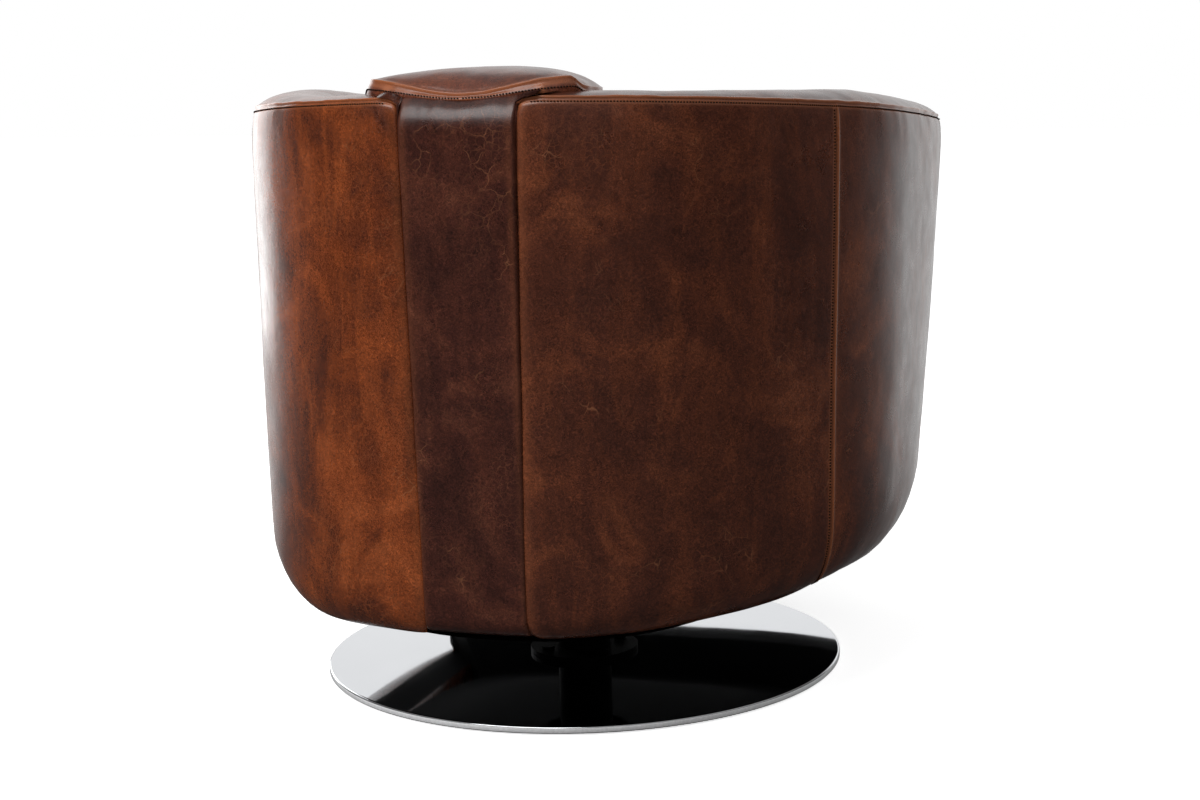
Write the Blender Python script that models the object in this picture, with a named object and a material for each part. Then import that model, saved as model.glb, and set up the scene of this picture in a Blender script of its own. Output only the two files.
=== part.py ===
import math

import bmesh
import bpy
from mathutils import Matrix, Vector

# Gaps
CLEARANCE = 0.0003          # between pieces that touch
SOFT_GAP = 0.0008           # between neighbouring padded pieces
SPINE_GAP = 0.0019          # between the spine and the arm ends
CUT_MARGIN = 0.02           # how far a cutter runs past the face it opens

# Disc base and column
PAD_THICKNESS = 0.002
PAD_MARGIN = 0.008
DISC_RADIUS = 0.309
DISC_THICKNESS = 0.008
DISC_EDGE = 0.002
FLANGE_RADIUS = 0.065
FLANGE_THICKNESS = 0.006
COLUMN_RADIUS = 0.032
COLUMN_WALL = 0.005
COLUMN_HEIGHT = 0.086
BUSH_WALL = 0.006
BUSH_COLLAR = 0.003
WASHER_THICKNESS = 0.002
SPINDLE_COLLAR = 0.008
CLIP_THICKNESS = 0.003
CLIP_GROOVE = 0.002
CLIP_STAND = 0.004
FIT = 0.0004                # running fit between spindle and bush
SCREW_RADIUS = 0.004
SCREW_HEAD_RADIUS = 0.0075
SCREW_HEAD_HEIGHT = 0.004
SCREW_BITE = 0.005
ROUND_STEPS = 48
SCREW_STEPS = 12
DISC_STEPS = 72

# Seat frame
SEAT_TILT = 0.06            # fall towards the back, metres per metre
PLATE_HALF = 0.1
PLATE_THICKNESS = 0.006
PLATE_BITE = 0.03
RAIL_HEIGHT = 0.138
RAIL_THICKNESS = 0.022
BEARER_WIDTH = 0.06
BEARER_HEIGHT = 0.034
BEARER_SPACING = 0.15
STRAP_WIDTH = 0.055
STRAP_THICKNESS = 0.0025
STRAP_SPACING = 0.08
STRAP_COUNT = 5
DUST_THICKNESS = 0.0012
DUST_HOLE = 0.15
FRAME_BACK_Y = 0.142
FRAME_FRONT_Y = -0.315
FRAME_MIDDLE_Y = -0.05
FRAME_BACK_POWER = 2.4
FRAME_FRONT_POWER = 4.0
CORNER_ANGLE_BACK = math.radians(48)
CORNER_ANGLE_FRONT = math.radians(134)

# Tub
BOTTOM_AT_BACK = 0.115
BOTTOM_SLOPE = 0.0          # rise of the arms towards the front, metres per metre
TOP_AT_BACK = 0.698
TOP_SLOPE = 0.1035
BOTTOM_HALF_WIDTH = 0.372
SIDE_LEAN = 0.019
TOP_HALF_WIDTH = BOTTOM_HALF_WIDTH + SIDE_LEAN
BOTTOM_WIDEST_Y = -0.015
TOP_WIDEST_Y = -0.085
BACK_Y = 0.364
BACK_POWER = 2.03
FRONT_POWER = 3.2
BOTTOM_FRONT_REACH = 0.44
TOP_FRONT_REACH = 0.52
SLOT_HALF_BOTTOM = 0.0525
SLOT_HALF_TOP = 0.0625
BOTTOM_TIP_Y = -0.37
TOP_TIP_Y = -0.41
NOSE_LENGTH = 0.062
NOSE_RISE = 0.016
NOSE_CROWN = 0.75
TURN_AT_BACK = 0.030        # roll of the arm wall under its foot, beside the spine
TURN_AT_SIDE = 0.115        # the same towards the front
TURN_RUN = 0.62             # share of the arm over which it grows
TURN_SHARE = 0.60
LIP_SHARE = 0.03
INNER_HEM = 0.03
CORNER_ROUND = 0.013
CROWN_AT_BACK = 0.009
CROWN_START = 0.16
CROWN_RATE = 2.6
CROWN_AT_SIDE = 0.022
WALL_BULGE = 0.002
SEAM_DRAW = 0.0025
ARM_WIDTH = 0.11
INNER_HALF_WIDTH = BOTTOM_HALF_WIDTH - ARM_WIDTH
INNER_REACH = 0.28
INNER_MIDDLE_Y = -0.05
INNER_END_X = 0.52 * INNER_HALF_WIDTH
LEATHER = 0.002
ARM_PAD = 0.196 * ARM_WIDTH
BOARD_THICKNESS = 0.018
POST_SIDE = 0.32 * ARM_WIDTH

# Spine
STRIP_RECESS = 0.009
SPINE_FRONT_TOP = 0.186
SPINE_CORNER = 0.04
SPINE_LIFT = 0.013
SPINE_ROUND = 0.032
SPINE_DRAW = 0.03
SPINE_TOP = 0.699
SPINE_FALL = 0.42
HEAD_TOP = 0.7265
HEAD_HALF_WIDTH = 0.130
HEAD_BACK_Y = 0.338
HEAD_FRONT_Y = 0.186
HEAD_POWER = 3.2
HEAD_SIDE_FALL = 0.3
HEAD_DRAW = 0.05
HEAD_STAND = CROWN_AT_BACK + 0.0015
LUMBAR_BULGE = 0.014
FOOT_BULGE = 0.36
SPINE_POST_WIDTH = 0.03
SPINE_POST_DEPTH = 0.04
SPINE_POST_Y = 0.232
SPINE_POST_GAP = 0.05
SPINE_POST_TOP = 0.608
SPINE_RAIL_HEIGHT = 0.05
COVER_SPLIT_TOP_Y = 0.322
COVER_SPLIT_LEAN = 0.36

# Seat cushion and apron
CUSHION_THICKNESS = 0.128
CUSHION_CROWN = 0.034
CUSHION_EDGE = 0.012
CUSHION_SIDE_GAP = 0.0025
CUSHION_FRONT_Y = -0.388
CLOTH_THICKNESS = 0.0015
APRON_BOTTOM_DEPTH = 0.014
APRON_TOP_DEPTH = 0.034
APRON_ROUND = 0.012
APRON_DROP = 0.058           # how far it hangs below the front rail
APRON_AHEAD = 0.055

COLOURS = {
    "leather": ((0.075, 0.028, 0.014, 1.0), 0.32, 0.0),
    "foam": ((0.72, 0.66, 0.48, 1.0), 0.9, 0.0),
    "wood": ((0.45, 0.3, 0.17, 1.0), 0.65, 0.0),
    "ply": ((0.55, 0.4, 0.25, 1.0), 0.6, 0.0),
    "cloth": ((0.012, 0.012, 0.013, 1.0), 0.9, 0.0),
    "web": ((0.09, 0.07, 0.05, 1.0), 0.85, 0.0),
    "chrome": ((0.8, 0.8, 0.82, 1.0), 0.06, 1.0),
    "black": ((0.012, 0.012, 0.013, 1.0), 0.4, 0.0),
    "steel": ((0.35, 0.35, 0.36, 1.0), 0.35, 1.0),
    "nylon": ((0.8, 0.79, 0.74, 1.0), 0.45, 0.0),
    "felt": ((0.05, 0.05, 0.052, 1.0), 0.95, 0.0),
}

for old in list(bpy.data.objects):
    bpy.data.objects.remove(old, do_unlink=True)

parts = bpy.data.collections.new("swivel_tub_chair")
cutters = bpy.data.collections.new("cutters")
bpy.context.scene.collection.children.link(parts)
bpy.context.scene.collection.children.link(cutters)
SEAT_SHEAR = Matrix.Identity(4)
SEAT_SHEAR[2][1] = -SEAT_TILT


def mix(low, high, share):
    return low + (high - low) * share


def add_object(name, mesh_maker, finish, cutter=False):
    mesh = bpy.data.meshes.new(name)
    bmesh.ops.recalc_face_normals(mesh_maker, faces=mesh_maker.faces)
    mesh_maker.to_mesh(mesh)
    mesh_maker.free()
    piece = bpy.data.objects.new(name, mesh)
    if cutter:
        cutters.objects.link(piece)
        piece.hide_render = True
        piece.display_type = "WIRE"
        return piece
    parts.objects.link(piece)
    colour, roughness, metallic = COLOURS[finish]
    material = bpy.data.materials.new(name + "_finish")
    material.use_nodes = True
    shader = material.node_tree.nodes["Principled BSDF"]
    shader.inputs["Base Color"].default_value = colour
    shader.inputs["Roughness"].default_value = roughness
    shader.inputs["Metallic"].default_value = metallic
    mesh.materials.append(material)
    return piece


def cut(piece, cutter, operation="DIFFERENCE"):
    change = piece.modifiers.new(cutter.name, "BOOLEAN")
    change.operation = operation
    change.solver = "EXACT"
    change.object = cutter


def turned(name, profile, finish, steps=ROUND_STEPS, cutter=False, at=(0.0, 0.0), on_axis=True):
    maker = bmesh.new()
    points = [maker.verts.new((radius, 0.0, height)) for radius, height in profile]
    edges = [maker.edges.new(pair) for pair in zip(points, points[1:])]
    if not on_axis:
        edges.append(maker.edges.new((points[-1], points[0])))
    bmesh.ops.spin(
        maker, geom=points + edges, axis=(0, 0, 1), cent=(0, 0, 0),
        angle=2 * math.pi, steps=steps, use_merge=True,
    )
    bmesh.ops.remove_doubles(maker, verts=maker.verts, dist=1e-6)
    bmesh.ops.translate(maker, verts=maker.verts, vec=(at[0], at[1], 0.0))
    return add_object(name, maker, finish, cutter)


def block(name, low, high, finish, tilt=False, cutter=False):
    maker = bmesh.new()
    bmesh.ops.create_cube(maker, size=1.0)
    size = Vector(high) - Vector(low)
    middle = (Vector(high) + Vector(low)) / 2
    bmesh.ops.scale(maker, verts=maker.verts, vec=size)
    bmesh.ops.translate(maker, verts=maker.verts, vec=middle)
    if tilt:
        bmesh.ops.transform(maker, verts=maker.verts, matrix=SEAT_SHEAR)
    return add_object(name, maker, finish, cutter)


def close_end(maker, loop):
    last = len(loop) - 1
    for index in range(len(loop) // 2):
        other = last - index
        if index + 1 < other:
            maker.faces.new((loop[index], loop[index + 1], loop[other]))
        if index + 1 < other - 1:
            maker.faces.new((loop[index + 1], loop[other - 1], loop[other]))


def loft(name, sections, finish, mirror=False, tilt=False, ring=False, cutter=False, tail=0):
    maker = bmesh.new()
    loops = [[maker.verts.new(point) for point in section] for section in sections]
    pairs = list(zip(loops, loops[1:]))
    if ring:
        pairs.append((loops[-1], loops[0]))
    for near, far in pairs:
        for index in range(len(near)):
            after = (index + 1) % len(near)
            maker.faces.new((near[index], near[after], far[after]))
            maker.faces.new((near[index], far[after], far[index]))
    if not ring:
        for loop in (loops[0], loops[-1]):
            main = len(loop) - tail
            close_end(maker, loop[:main])
            if tail:
                close_end(maker, loop[main - 1:] + loop[:1])
    if mirror:
        bmesh.ops.scale(maker, verts=maker.verts, vec=(-1.0, 1.0, 1.0))
    if tilt:
        bmesh.ops.transform(maker, verts=maker.verts, matrix=SEAT_SHEAR)
    return add_object(name, maker, finish, cutter)


def oval(angle, half_width, reach, power):
    across = (abs(math.sin(angle)) / half_width) ** power
    along = (abs(math.cos(angle)) / reach) ** power
    return (across + along) ** (-1.0 / power)


# Disc base
disc_low = PAD_THICKNESS + CLEARANCE
disc_high = disc_low + DISC_THICKNESS
flange_low = disc_high + CLEARANCE
flange_high = flange_low + FLANGE_THICKNESS
column_top = flange_low + COLUMN_HEIGHT
column_bore = COLUMN_RADIUS - COLUMN_WALL
bush_outer = column_bore - CLEARANCE
bush_bore = bush_outer - BUSH_WALL
spindle_radius = bush_bore - FIT
bush_top = column_top + CLEARANCE + BUSH_COLLAR
washer_low = bush_top + CLEARANCE
washer_high = washer_low + WASHER_THICKNESS
collar_low = washer_high + CLEARANCE
collar_high = collar_low + SPINDLE_COLLAR
clip_low = flange_high + CLIP_STAND
bush_low = clip_low + CLIP_THICKNESS + 2 * CLEARANCE
spindle_low = clip_low - CLIP_THICKNESS / 2
plate_low = collar_high + SEAT_TILT * PLATE_HALF + CLEARANCE
plate_high = plate_low + PLATE_THICKNESS
rail_low = plate_high + CLEARANCE
rail_high = rail_low + RAIL_HEIGHT

pad_radius = DISC_RADIUS - PAD_MARGIN
turned("floor_pad", [(0, 0), (pad_radius, 0), (pad_radius, PAD_THICKNESS), (0, PAD_THICKNESS)],
       "felt", DISC_STEPS)
disc = turned("base_disc", [
    (0, disc_low), (DISC_RADIUS - DISC_EDGE, disc_low), (DISC_RADIUS, disc_low + DISC_EDGE),
    (DISC_RADIUS, disc_high - DISC_EDGE), (DISC_RADIUS - 0.3 * DISC_EDGE, disc_high - 0.3 * DISC_EDGE),
    (DISC_RADIUS - DISC_EDGE, disc_high), (0, disc_high)], "chrome", DISC_STEPS)
column = turned("column", [
    (column_bore, flange_low), (FLANGE_RADIUS, flange_low), (FLANGE_RADIUS, flange_high),
    (COLUMN_RADIUS, flange_high), (COLUMN_RADIUS, column_top), (column_bore, column_top)],
    "black", on_axis=False)
turned("column_bush", [
    (bush_bore, bush_low), (bush_outer, bush_low), (bush_outer, column_top + CLEARANCE),
    (COLUMN_RADIUS, column_top + CLEARANCE), (COLUMN_RADIUS, bush_top), (bush_bore, bush_top)],
    "nylon", on_axis=False)
turned("thrust_washer", [
    (bush_bore, washer_low), (COLUMN_RADIUS, washer_low), (COLUMN_RADIUS, washer_high),
    (bush_bore, washer_high)], "steel", on_axis=False)

screw_ring = (FLANGE_RADIUS + COLUMN_RADIUS) / 2
for number in range(4):
    turn = math.pi / 4 + number * math.pi / 2
    at = (screw_ring * math.cos(turn), screw_ring * math.sin(turn))
    tip = disc_high - SCREW_BITE
    head = flange_high + CLEARANCE
    turned(f"flange_screw_{number + 1}", [
        (0, tip), (SCREW_RADIUS, tip), (SCREW_RADIUS, head), (SCREW_HEAD_RADIUS, head),
        (SCREW_HEAD_RADIUS, head + SCREW_HEAD_HEIGHT), (0, head + SCREW_HEAD_HEIGHT)],
        "black", SCREW_STEPS, at=at)
    hole = SCREW_RADIUS + CLEARANCE
    low = tip - CLEARANCE
    high = flange_high + CUT_MARGIN
    bore = turned(f"flange_hole_{number + 1}", [(0, low), (hole, low), (hole, high), (0, high)],
                  "steel", SCREW_STEPS, True, at)
    cut(disc, bore)
    cut(column, bore)

# Swivel plate with its spindle
groove = spindle_radius - CLIP_GROOVE
plate = turned("swivel_plate", [
    (0, spindle_low), (spindle_radius, spindle_low), (spindle_radius, clip_low),
    (groove, clip_low), (groove, clip_low + CLIP_THICKNESS + CLEARANCE),
    (spindle_radius, clip_low + CLIP_THICKNESS + CLEARANCE), (spindle_radius, collar_low),
    (COLUMN_RADIUS, collar_low), (COLUMN_RADIUS, collar_high),
    (COLUMN_RADIUS * 0.8, plate_low + PLATE_THICKNESS / 2), (0, plate_low + PLATE_THICKNESS / 2)],
    "steel")
flat = block("plate_flat", (-PLATE_HALF, -PLATE_HALF, plate_low), (PLATE_HALF, PLATE_HALF, plate_high),
             "steel", True, True)
cut(plate, flat, "UNION")
clip_bore = groove + CLEARANCE
clip_outer = (column_bore + spindle_radius) / 2
clip_top = clip_low + CLIP_THICKNESS
turned("spindle_clip", [
    (clip_bore, clip_low + CLEARANCE), (clip_outer, clip_low + CLEARANCE),
    (clip_outer, clip_top), (clip_bore, clip_top)], "steel", on_axis=False)


# Seat frame
def frame_point(angle, inset, front_y=FRAME_FRONT_Y):
    half = INNER_HALF_WIDTH - CUSHION_SIDE_GAP - inset
    if math.cos(angle) > 0:
        reach = FRAME_BACK_Y - FRAME_MIDDLE_Y - inset
        distance = oval(angle, half, reach, FRAME_BACK_POWER)
    else:
        distance = oval(angle, half, FRAME_MIDDLE_Y - front_y - inset, FRAME_FRONT_POWER)
    return distance * math.sin(angle), FRAME_MIDDLE_Y + distance * math.cos(angle)


def frame_span(x, inset, front_y=FRAME_FRONT_Y):
    half = INNER_HALF_WIDTH - CUSHION_SIDE_GAP - inset
    share = min(abs(x) / half, 1.0)
    back = (FRAME_BACK_Y - FRAME_MIDDLE_Y - inset) * (1 - share ** FRAME_BACK_POWER) ** (1 / FRAME_BACK_POWER)
    front = (FRAME_MIDDLE_Y - front_y - inset) * (1 - share ** FRAME_FRONT_POWER) ** (1 / FRAME_FRONT_POWER)
    return FRAME_MIDDLE_Y - front, FRAME_MIDDLE_Y + back


def rail_angles(start, stop, steps):
    trim = CLEARANCE / INNER_HALF_WIDTH
    return [mix(start + trim, stop - trim, step / steps) for step in range(steps + 1)]


def rail(name, start, stop, steps):
    sections = []
    for angle in rail_angles(start, stop, steps):
        outer = frame_point(angle, 0.0)
        inner = frame_point(angle, RAIL_THICKNESS)
        sections.append([
            (*outer, rail_low), (*outer, rail_high), (*inner, rail_high), (*inner, rail_low)])
    return loft(name, sections, "wood", tilt=True)


rail("seat_rail_back", -CORNER_ANGLE_BACK, CORNER_ANGLE_BACK, 8)
rail("seat_rail_left", CORNER_ANGLE_BACK, CORNER_ANGLE_FRONT, 8)
FRONT_STEPS = 12
rail("seat_rail_front", CORNER_ANGLE_FRONT, 2 * math.pi - CORNER_ANGLE_FRONT, FRONT_STEPS)
rail("seat_rail_right", -CORNER_ANGLE_FRONT, -CORNER_ANGLE_BACK, 8)

bearers = []
for side, sign in (("left", 1), ("right", -1)):
    middle = sign * BEARER_SPACING / 2
    edge = BEARER_SPACING / 2 + BEARER_WIDTH / 2
    sag = 0.002
    front, back = frame_span(edge, RAIL_THICKNESS + sag)
    bearers.append(block(
        f"bearer_{side}", (middle - BEARER_WIDTH / 2, front, rail_low),
        (middle + BEARER_WIDTH / 2, back, rail_low + BEARER_HEIGHT), "wood", True))

number = 0
for side_x in (-1, 1):
    for side_y in (-1, 1):
        number += 1
        at = (side_x * BEARER_SPACING / 2, side_y * (PLATE_HALF - PLATE_BITE))
        level = plate_low - SEAT_TILT * at[1]
        head = level - SEAT_TILT * SCREW_HEAD_RADIUS - CLEARANCE
        tip = plate_high - SEAT_TILT * at[1] + BEARER_HEIGHT / 2
        turned(f"plate_screw_{number}", [
            (0, head - SCREW_HEAD_HEIGHT), (SCREW_HEAD_RADIUS, head - SCREW_HEAD_HEIGHT),
            (SCREW_HEAD_RADIUS, head), (SCREW_RADIUS, head), (SCREW_RADIUS, tip), (0, tip)],
            "steel", SCREW_STEPS, at=at)
        hole = SCREW_RADIUS + CLEARANCE
        bore = turned(f"plate_hole_{number}", [
            (0, head - CUT_MARGIN), (hole, head - CUT_MARGIN), (hole, tip + CLEARANCE), (0, tip + CLEARANCE)],
            "steel", SCREW_STEPS, True, at)
        cut(plate, bore)
        cut(bearers[0 if side_x > 0 else 1], bore)

strap_low = rail_high + CLEARANCE
strap_high = strap_low + STRAP_THICKNESS
for number in range(STRAP_COUNT):
    middle = (number - (STRAP_COUNT - 1) / 2) * STRAP_SPACING
    front, back = frame_span(abs(middle) + STRAP_WIDTH / 2, CUSHION_EDGE / 2)
    block(f"web_strap_{number + 1}", (middle - STRAP_WIDTH / 2, front, strap_low),
          (middle + STRAP_WIDTH / 2, back, strap_high), "web", True)

dust_high = rail_low - CLEARANCE
dust_low = dust_high - DUST_THICKNESS
dust_sections = []
for step in range(40):
    angle = step / 40 * 2 * math.pi
    outer = frame_point(angle, RAIL_THICKNESS / 4)
    inner = (DUST_HOLE * math.sin(angle), DUST_HOLE * math.cos(angle))
    dust_sections.append([(*outer, dust_low), (*outer, dust_high), (*inner, dust_high), (*inner, dust_low)])
loft("dust_cover", dust_sections, "cloth", tilt=True, ring=True)


# Arms
def bottom_z(y):
    return BOTTOM_AT_BACK + BOTTOM_SLOPE * (BACK_Y - y)


def top_z(y):
    return TOP_AT_BACK - TOP_SLOPE * (BACK_Y - y)


def outer_start(level, inset):
    half = mix(BOTTOM_HALF_WIDTH, TOP_HALF_WIDTH, level) - inset
    reach = BACK_Y - mix(BOTTOM_WIDEST_Y, TOP_WIDEST_Y, level) - inset
    x = mix(SLOT_HALF_BOTTOM, SLOT_HALF_TOP, level) + inset
    return math.atan2(x, reach * (1 - (x / half) ** BACK_POWER) ** (1 / BACK_POWER))


def outer_point(angle, level, inset):
    half = mix(BOTTOM_HALF_WIDTH, TOP_HALF_WIDTH, level) - inset
    centre = mix(BOTTOM_WIDEST_Y, TOP_WIDEST_Y, level)
    if math.cos(angle) > 0:
        distance = oval(angle, half, BACK_Y - centre - inset, BACK_POWER)
    else:
        distance = oval(angle, half, mix(BOTTOM_FRONT_REACH, TOP_FRONT_REACH, level), FRONT_POWER)
    return Vector((distance * math.sin(angle), centre + distance * math.cos(angle)))


def outer_stop(level, inset):
    centre = mix(BOTTOM_WIDEST_Y, TOP_WIDEST_Y, level)
    half = mix(BOTTOM_HALF_WIDTH, TOP_HALF_WIDTH, level) - inset
    y = mix(BOTTOM_TIP_Y, TOP_TIP_Y, level) + NOSE_LENGTH - centre
    reach = mix(BOTTOM_FRONT_REACH, TOP_FRONT_REACH, level)
    return math.atan2(half * (1 - (abs(y) / reach) ** FRONT_POWER) ** (1 / FRONT_POWER), y)


def inner_point(angle, inset):
    half = INNER_HALF_WIDTH + inset
    if math.cos(angle) > 0:
        distance = oval(angle, half, INNER_REACH + inset, 2.0)
    else:
        distance = half / math.sin(angle)
    return Vector((distance * math.sin(angle), INNER_MIDDLE_Y + distance * math.cos(angle)))


def inner_start(inset):
    x = INNER_END_X + inset
    share = 1 - (x / (INNER_HALF_WIDTH + inset)) ** 2
    return math.atan2(x, (INNER_REACH + inset) * math.sqrt(share))


def inner_stop(level, inset):
    y = mix(BOTTOM_TIP_Y, TOP_TIP_Y, level) + NOSE_LENGTH - INNER_MIDDLE_Y
    return math.atan2(INNER_HALF_WIDTH + inset, y)


def arm_sides(station, level, inset):
    run, nose = station
    outer = outer_point(mix(outer_start(level, inset), outer_stop(level, inset), run), level, inset)
    inner = inner_point(mix(inner_start(inset), inner_stop(level, inset), run), inset)
    if nose > 0:
        middle = (outer + inner) / 2
        across = outer - inner
        ahead = Vector((across.y, -across.x)).normalized() * (NOSE_LENGTH - inset)
        width = math.sqrt(1 - nose * nose)
        outer = middle + (outer - middle) * width + ahead * nose
        inner = middle + (inner - middle) * width + ahead * nose
    return outer, inner


END_RUNS = (0.0, 0.008, 0.03)
END_ROUND = (1.0, 0.22, 0.0)
BODY_STEPS = 11
NOSE_SHARES = (0.4, 0.72, 0.92, 0.985)
STATIONS = [(run, 0.0, rounding) for run, rounding in zip(END_RUNS, END_ROUND)]
STATIONS += [(mix(END_RUNS[-1], 1.0, step / BODY_STEPS), 0.0, 0.0) for step in range(1, BODY_STEPS + 1)]
STATIONS += [(1.0, share, 0.0) for share in NOSE_SHARES]


def wall_z(y, level, inset, nose=0.0):
    return mix(bottom_z(y) + inset + NOSE_RISE * nose * nose, top_z(y) - inset, level)


def arm_turn(run):
    grow = min(1.0, run / TURN_RUN)
    return mix(TURN_AT_BACK, TURN_AT_SIDE, grow * grow * (3 - 2 * grow))


def arm_point(run, nose, level, across, shift, lift, inset, roll=0.0):
    outer, inner = arm_sides((run, nose), level, inset)
    gap = inner - outer
    shift = min(shift, gap.length * TURN_SHARE / 2) + roll * min(arm_turn(run) - inset, gap.length * TURN_SHARE)
    spot = outer + gap * across + gap.normalized() * shift
    return Vector((spot.x, spot.y, wall_z(spot.y, level, inset, nose) + lift))


def arm_section(station, inset, open_below):
    run, nose, rounding = station
    soft = math.sqrt(1 - nose * nose)
    corner = CORNER_ROUND * rounding
    swell = min(1.0, max(0.0, run - CROWN_START) * CROWN_RATE)
    crown = mix(CROWN_AT_BACK, CROWN_AT_SIDE, swell) * mix(NOSE_CROWN, 1.0, soft)
    step = (arm_turn(run) - inset) / (TOP_AT_BACK - BOTTOM_AT_BACK)
    bulge = -WALL_BULGE * (1 - rounding)
    rows = [
        (0.0, corner, 1.0), (0.134 * step, corner, 0.5), (0.5 * step, corner, 0.134), (step, corner, 0.0),
        (0.24, corner + bulge / 2, 0.0), (0.5, corner + bulge, 0.0), (0.85, corner + bulge / 2, 0.0),
        (1.0, corner + SEAM_DRAW, 0.0)]
    section = [arm_point(run, nose, level, 0.0, shift, 0.0, inset, roll) for level, shift, roll in rows]
    section[-1].z -= corner
    for across, share in ((0.12, 0.55), (0.36, 0.96), (0.62, 1.0), (0.87, 0.5)):
        section.append(arm_point(run, nose, 1.0, across, 0.0, crown * share - corner, inset))
    for level, shift in ((1.0, -SEAM_DRAW), (0.92, 0.0), (0.24, 0.0), (INNER_HEM, 0.0)):
        section.append(arm_point(run, nose, level, 1.0, shift, 0.0, inset))
    if open_below:
        outer_lip = section[0].lerp(section[-1], LIP_SHARE)
        inner_lip = section[-1].lerp(section[0], LIP_SHARE)
        drop = Vector((0.0, 0.0, -CUT_MARGIN - inset))
        section += [inner_lip, inner_lip + drop, outer_lip + drop, outer_lip]
    return section


def arm_body(name, mirror, inset, finish, cutter=False, blunt=0):
    sections = [arm_section(station, inset, cutter) for station in STATIONS[:len(STATIONS) - blunt]]
    return loft(name, sections, finish, mirror, cutter=cutter, tail=4 if cutter else 0)


def arm_board(name, mirror, inset, level_low, level_high, skip, finish):
    sections = []
    for run, nose, rounding in STATIONS[skip:-3]:
        points = []
        for level in (level_low, level_high):
            outer, inner = arm_sides((run, nose), level, inset)
            points.append((outer, inner, level))
        loop = []
        for outer, inner, level in points:
            pair = [outer, inner]
            loop.append([(spot.x, spot.y, wall_z(spot.y, level, inset, nose)) for spot in pair])
        sections.append([loop[0][0], loop[1][0], loop[1][1], loop[0][1]])
    return loft(name, sections, finish, mirror)


def arm_cloth(name, mirror):
    sections = []
    for station in STATIONS[1:-3]:
        section = arm_section(station, 0.0, False)
        outer = section[0].lerp(section[-1], 2 * LIP_SHARE)
        inner = section[-1].lerp(section[0], 2 * LIP_SHARE)
        near = Vector((0.0, 0.0, -SOFT_GAP))
        far = near + Vector((0.0, 0.0, -DUST_THICKNESS))
        sections.append([outer + near, inner + near, inner + far, outer + far])
    return loft(name, sections, "cloth", mirror)


pad_inset = LEATHER + SOFT_GAP
core_inset = pad_inset + ARM_PAD
board_inset = core_inset + SOFT_GAP
wall_height = TOP_AT_BACK - BOTTOM_AT_BACK
top_board_low = 0.86
top_board_high = top_board_low + BOARD_THICKNESS / wall_height
foot_board_low = 0.165
foot_board_high = foot_board_low + BOARD_THICKNESS / wall_height
POST_RUNS = {"rear": 0.16, "front": 0.95}

for side, mirror in (("left", False), ("right", True)):
    cover = arm_body(f"arm_cover_{side}", mirror, 0.0, "leather")
    cut(cover, arm_body(f"arm_cover_room_{side}", mirror, LEATHER, "foam", True))
    padding = arm_body(f"arm_pad_{side}", mirror, pad_inset, "foam", blunt=1)
    cut(padding, arm_body(f"arm_pad_room_{side}", mirror, core_inset, "foam", True, 2))
    arm_board(f"arm_top_board_{side}", mirror, board_inset, top_board_low, top_board_high, 2, "ply")
    arm_board(f"arm_foot_board_{side}", mirror, board_inset, foot_board_low, foot_board_high, 2, "ply")
    arm_cloth(f"arm_base_cloth_{side}", mirror)
    for place, run in POST_RUNS.items():
        sections = []
        low_pair = arm_sides((run, 0.0), foot_board_high, board_inset)
        high_pair = arm_sides((run, 0.0), top_board_low, board_inset)
        for pair, level, gap in ((low_pair, foot_board_high, CLEARANCE), (high_pair, top_board_low, -CLEARANCE)):
            middle = (pair[0] + pair[1]) / 2
            square = []
            for dx, dy in ((-1, -1), (1, -1), (1, 1), (-1, 1)):
                x = middle.x + dx * POST_SIDE / 2
                y = middle.y + dy * POST_SIDE / 2
                z = wall_z(y, level, board_inset) + gap
                square.append((x, y, z))
            sections.append(square)
        loft(f"arm_post_{place}_{side}", sections, "wood", mirror)


# Spine between the arms, with the head
def spine_outline(level, inset, shrink):
    full_slot = mix(SLOT_HALF_BOTTOM, SLOT_HALF_TOP, level) - SPINE_GAP - inset
    slot = full_slot - shrink
    back = BACK_Y - STRIP_RECESS - inset - shrink
    share = 1 - (INNER_END_X / INNER_HALF_WIDTH) ** 2
    key_y = INNER_MIDDLE_Y + INNER_REACH * math.sqrt(share)
    lean = max(0.0, level - 0.3) / 0.7
    front_foot = FRAME_BACK_Y + SOFT_GAP + LUMBAR_BULGE * FOOT_BULGE
    front = mix(front_foot, SPINE_FRONT_TOP, lean) + inset + shrink
    shoulder = max(key_y, front + SPINE_CORNER * 0.3)
    key_share = (BACK_Y - shoulder) / (BACK_Y - key_y)
    wide = mix(full_slot, INNER_END_X - SPINE_GAP - inset, key_share) - shrink
    corner = min(SPINE_CORNER, (wide - 0.01) / 2)
    depth = min(SPINE_CORNER, shoulder - front)
    edge = CORNER_ROUND * 0.35
    swell = math.sin(math.pi * min(1.0, max(0.0, level - 0.2) / 0.8))
    bulge = LUMBAR_BULGE * mix(0.2, 0.6, swell)
    half = [
        (0.0, back), (slot - edge, back - 0.0005), (slot, back - edge),
        (mix(slot, wide, 0.5), mix(back, shoulder, 0.5)), (wide, shoulder),
        (wide - 0.3 * corner, front + 0.3 * depth), (wide - corner, front), (wide * 0.35, front - bulge * 0.8)]
    loop = half + [(0.0, front - bulge)] + [(-x, y) for x, y in half[:0:-1]]
    return loop


SPINE_LEVELS = (
    (0.0, 0.5, 0.0), (0.02, 0.15, 0.0), (0.06, 0.0, 0.0), (0.3, 0.0, 0.0), (0.5, 0.0, 0.0),
    (0.75, 0.0, 0.0), (1.0, 0.0, 0.0), (1.0, 0.12, 0.55), (1.0, 0.4, 0.87), (1.0, 0.9, 1.0))


def spine_top(y):
    return SPINE_TOP - SPINE_FALL * (BACK_Y - STRIP_RECESS - SPINE_DRAW - y)


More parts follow.
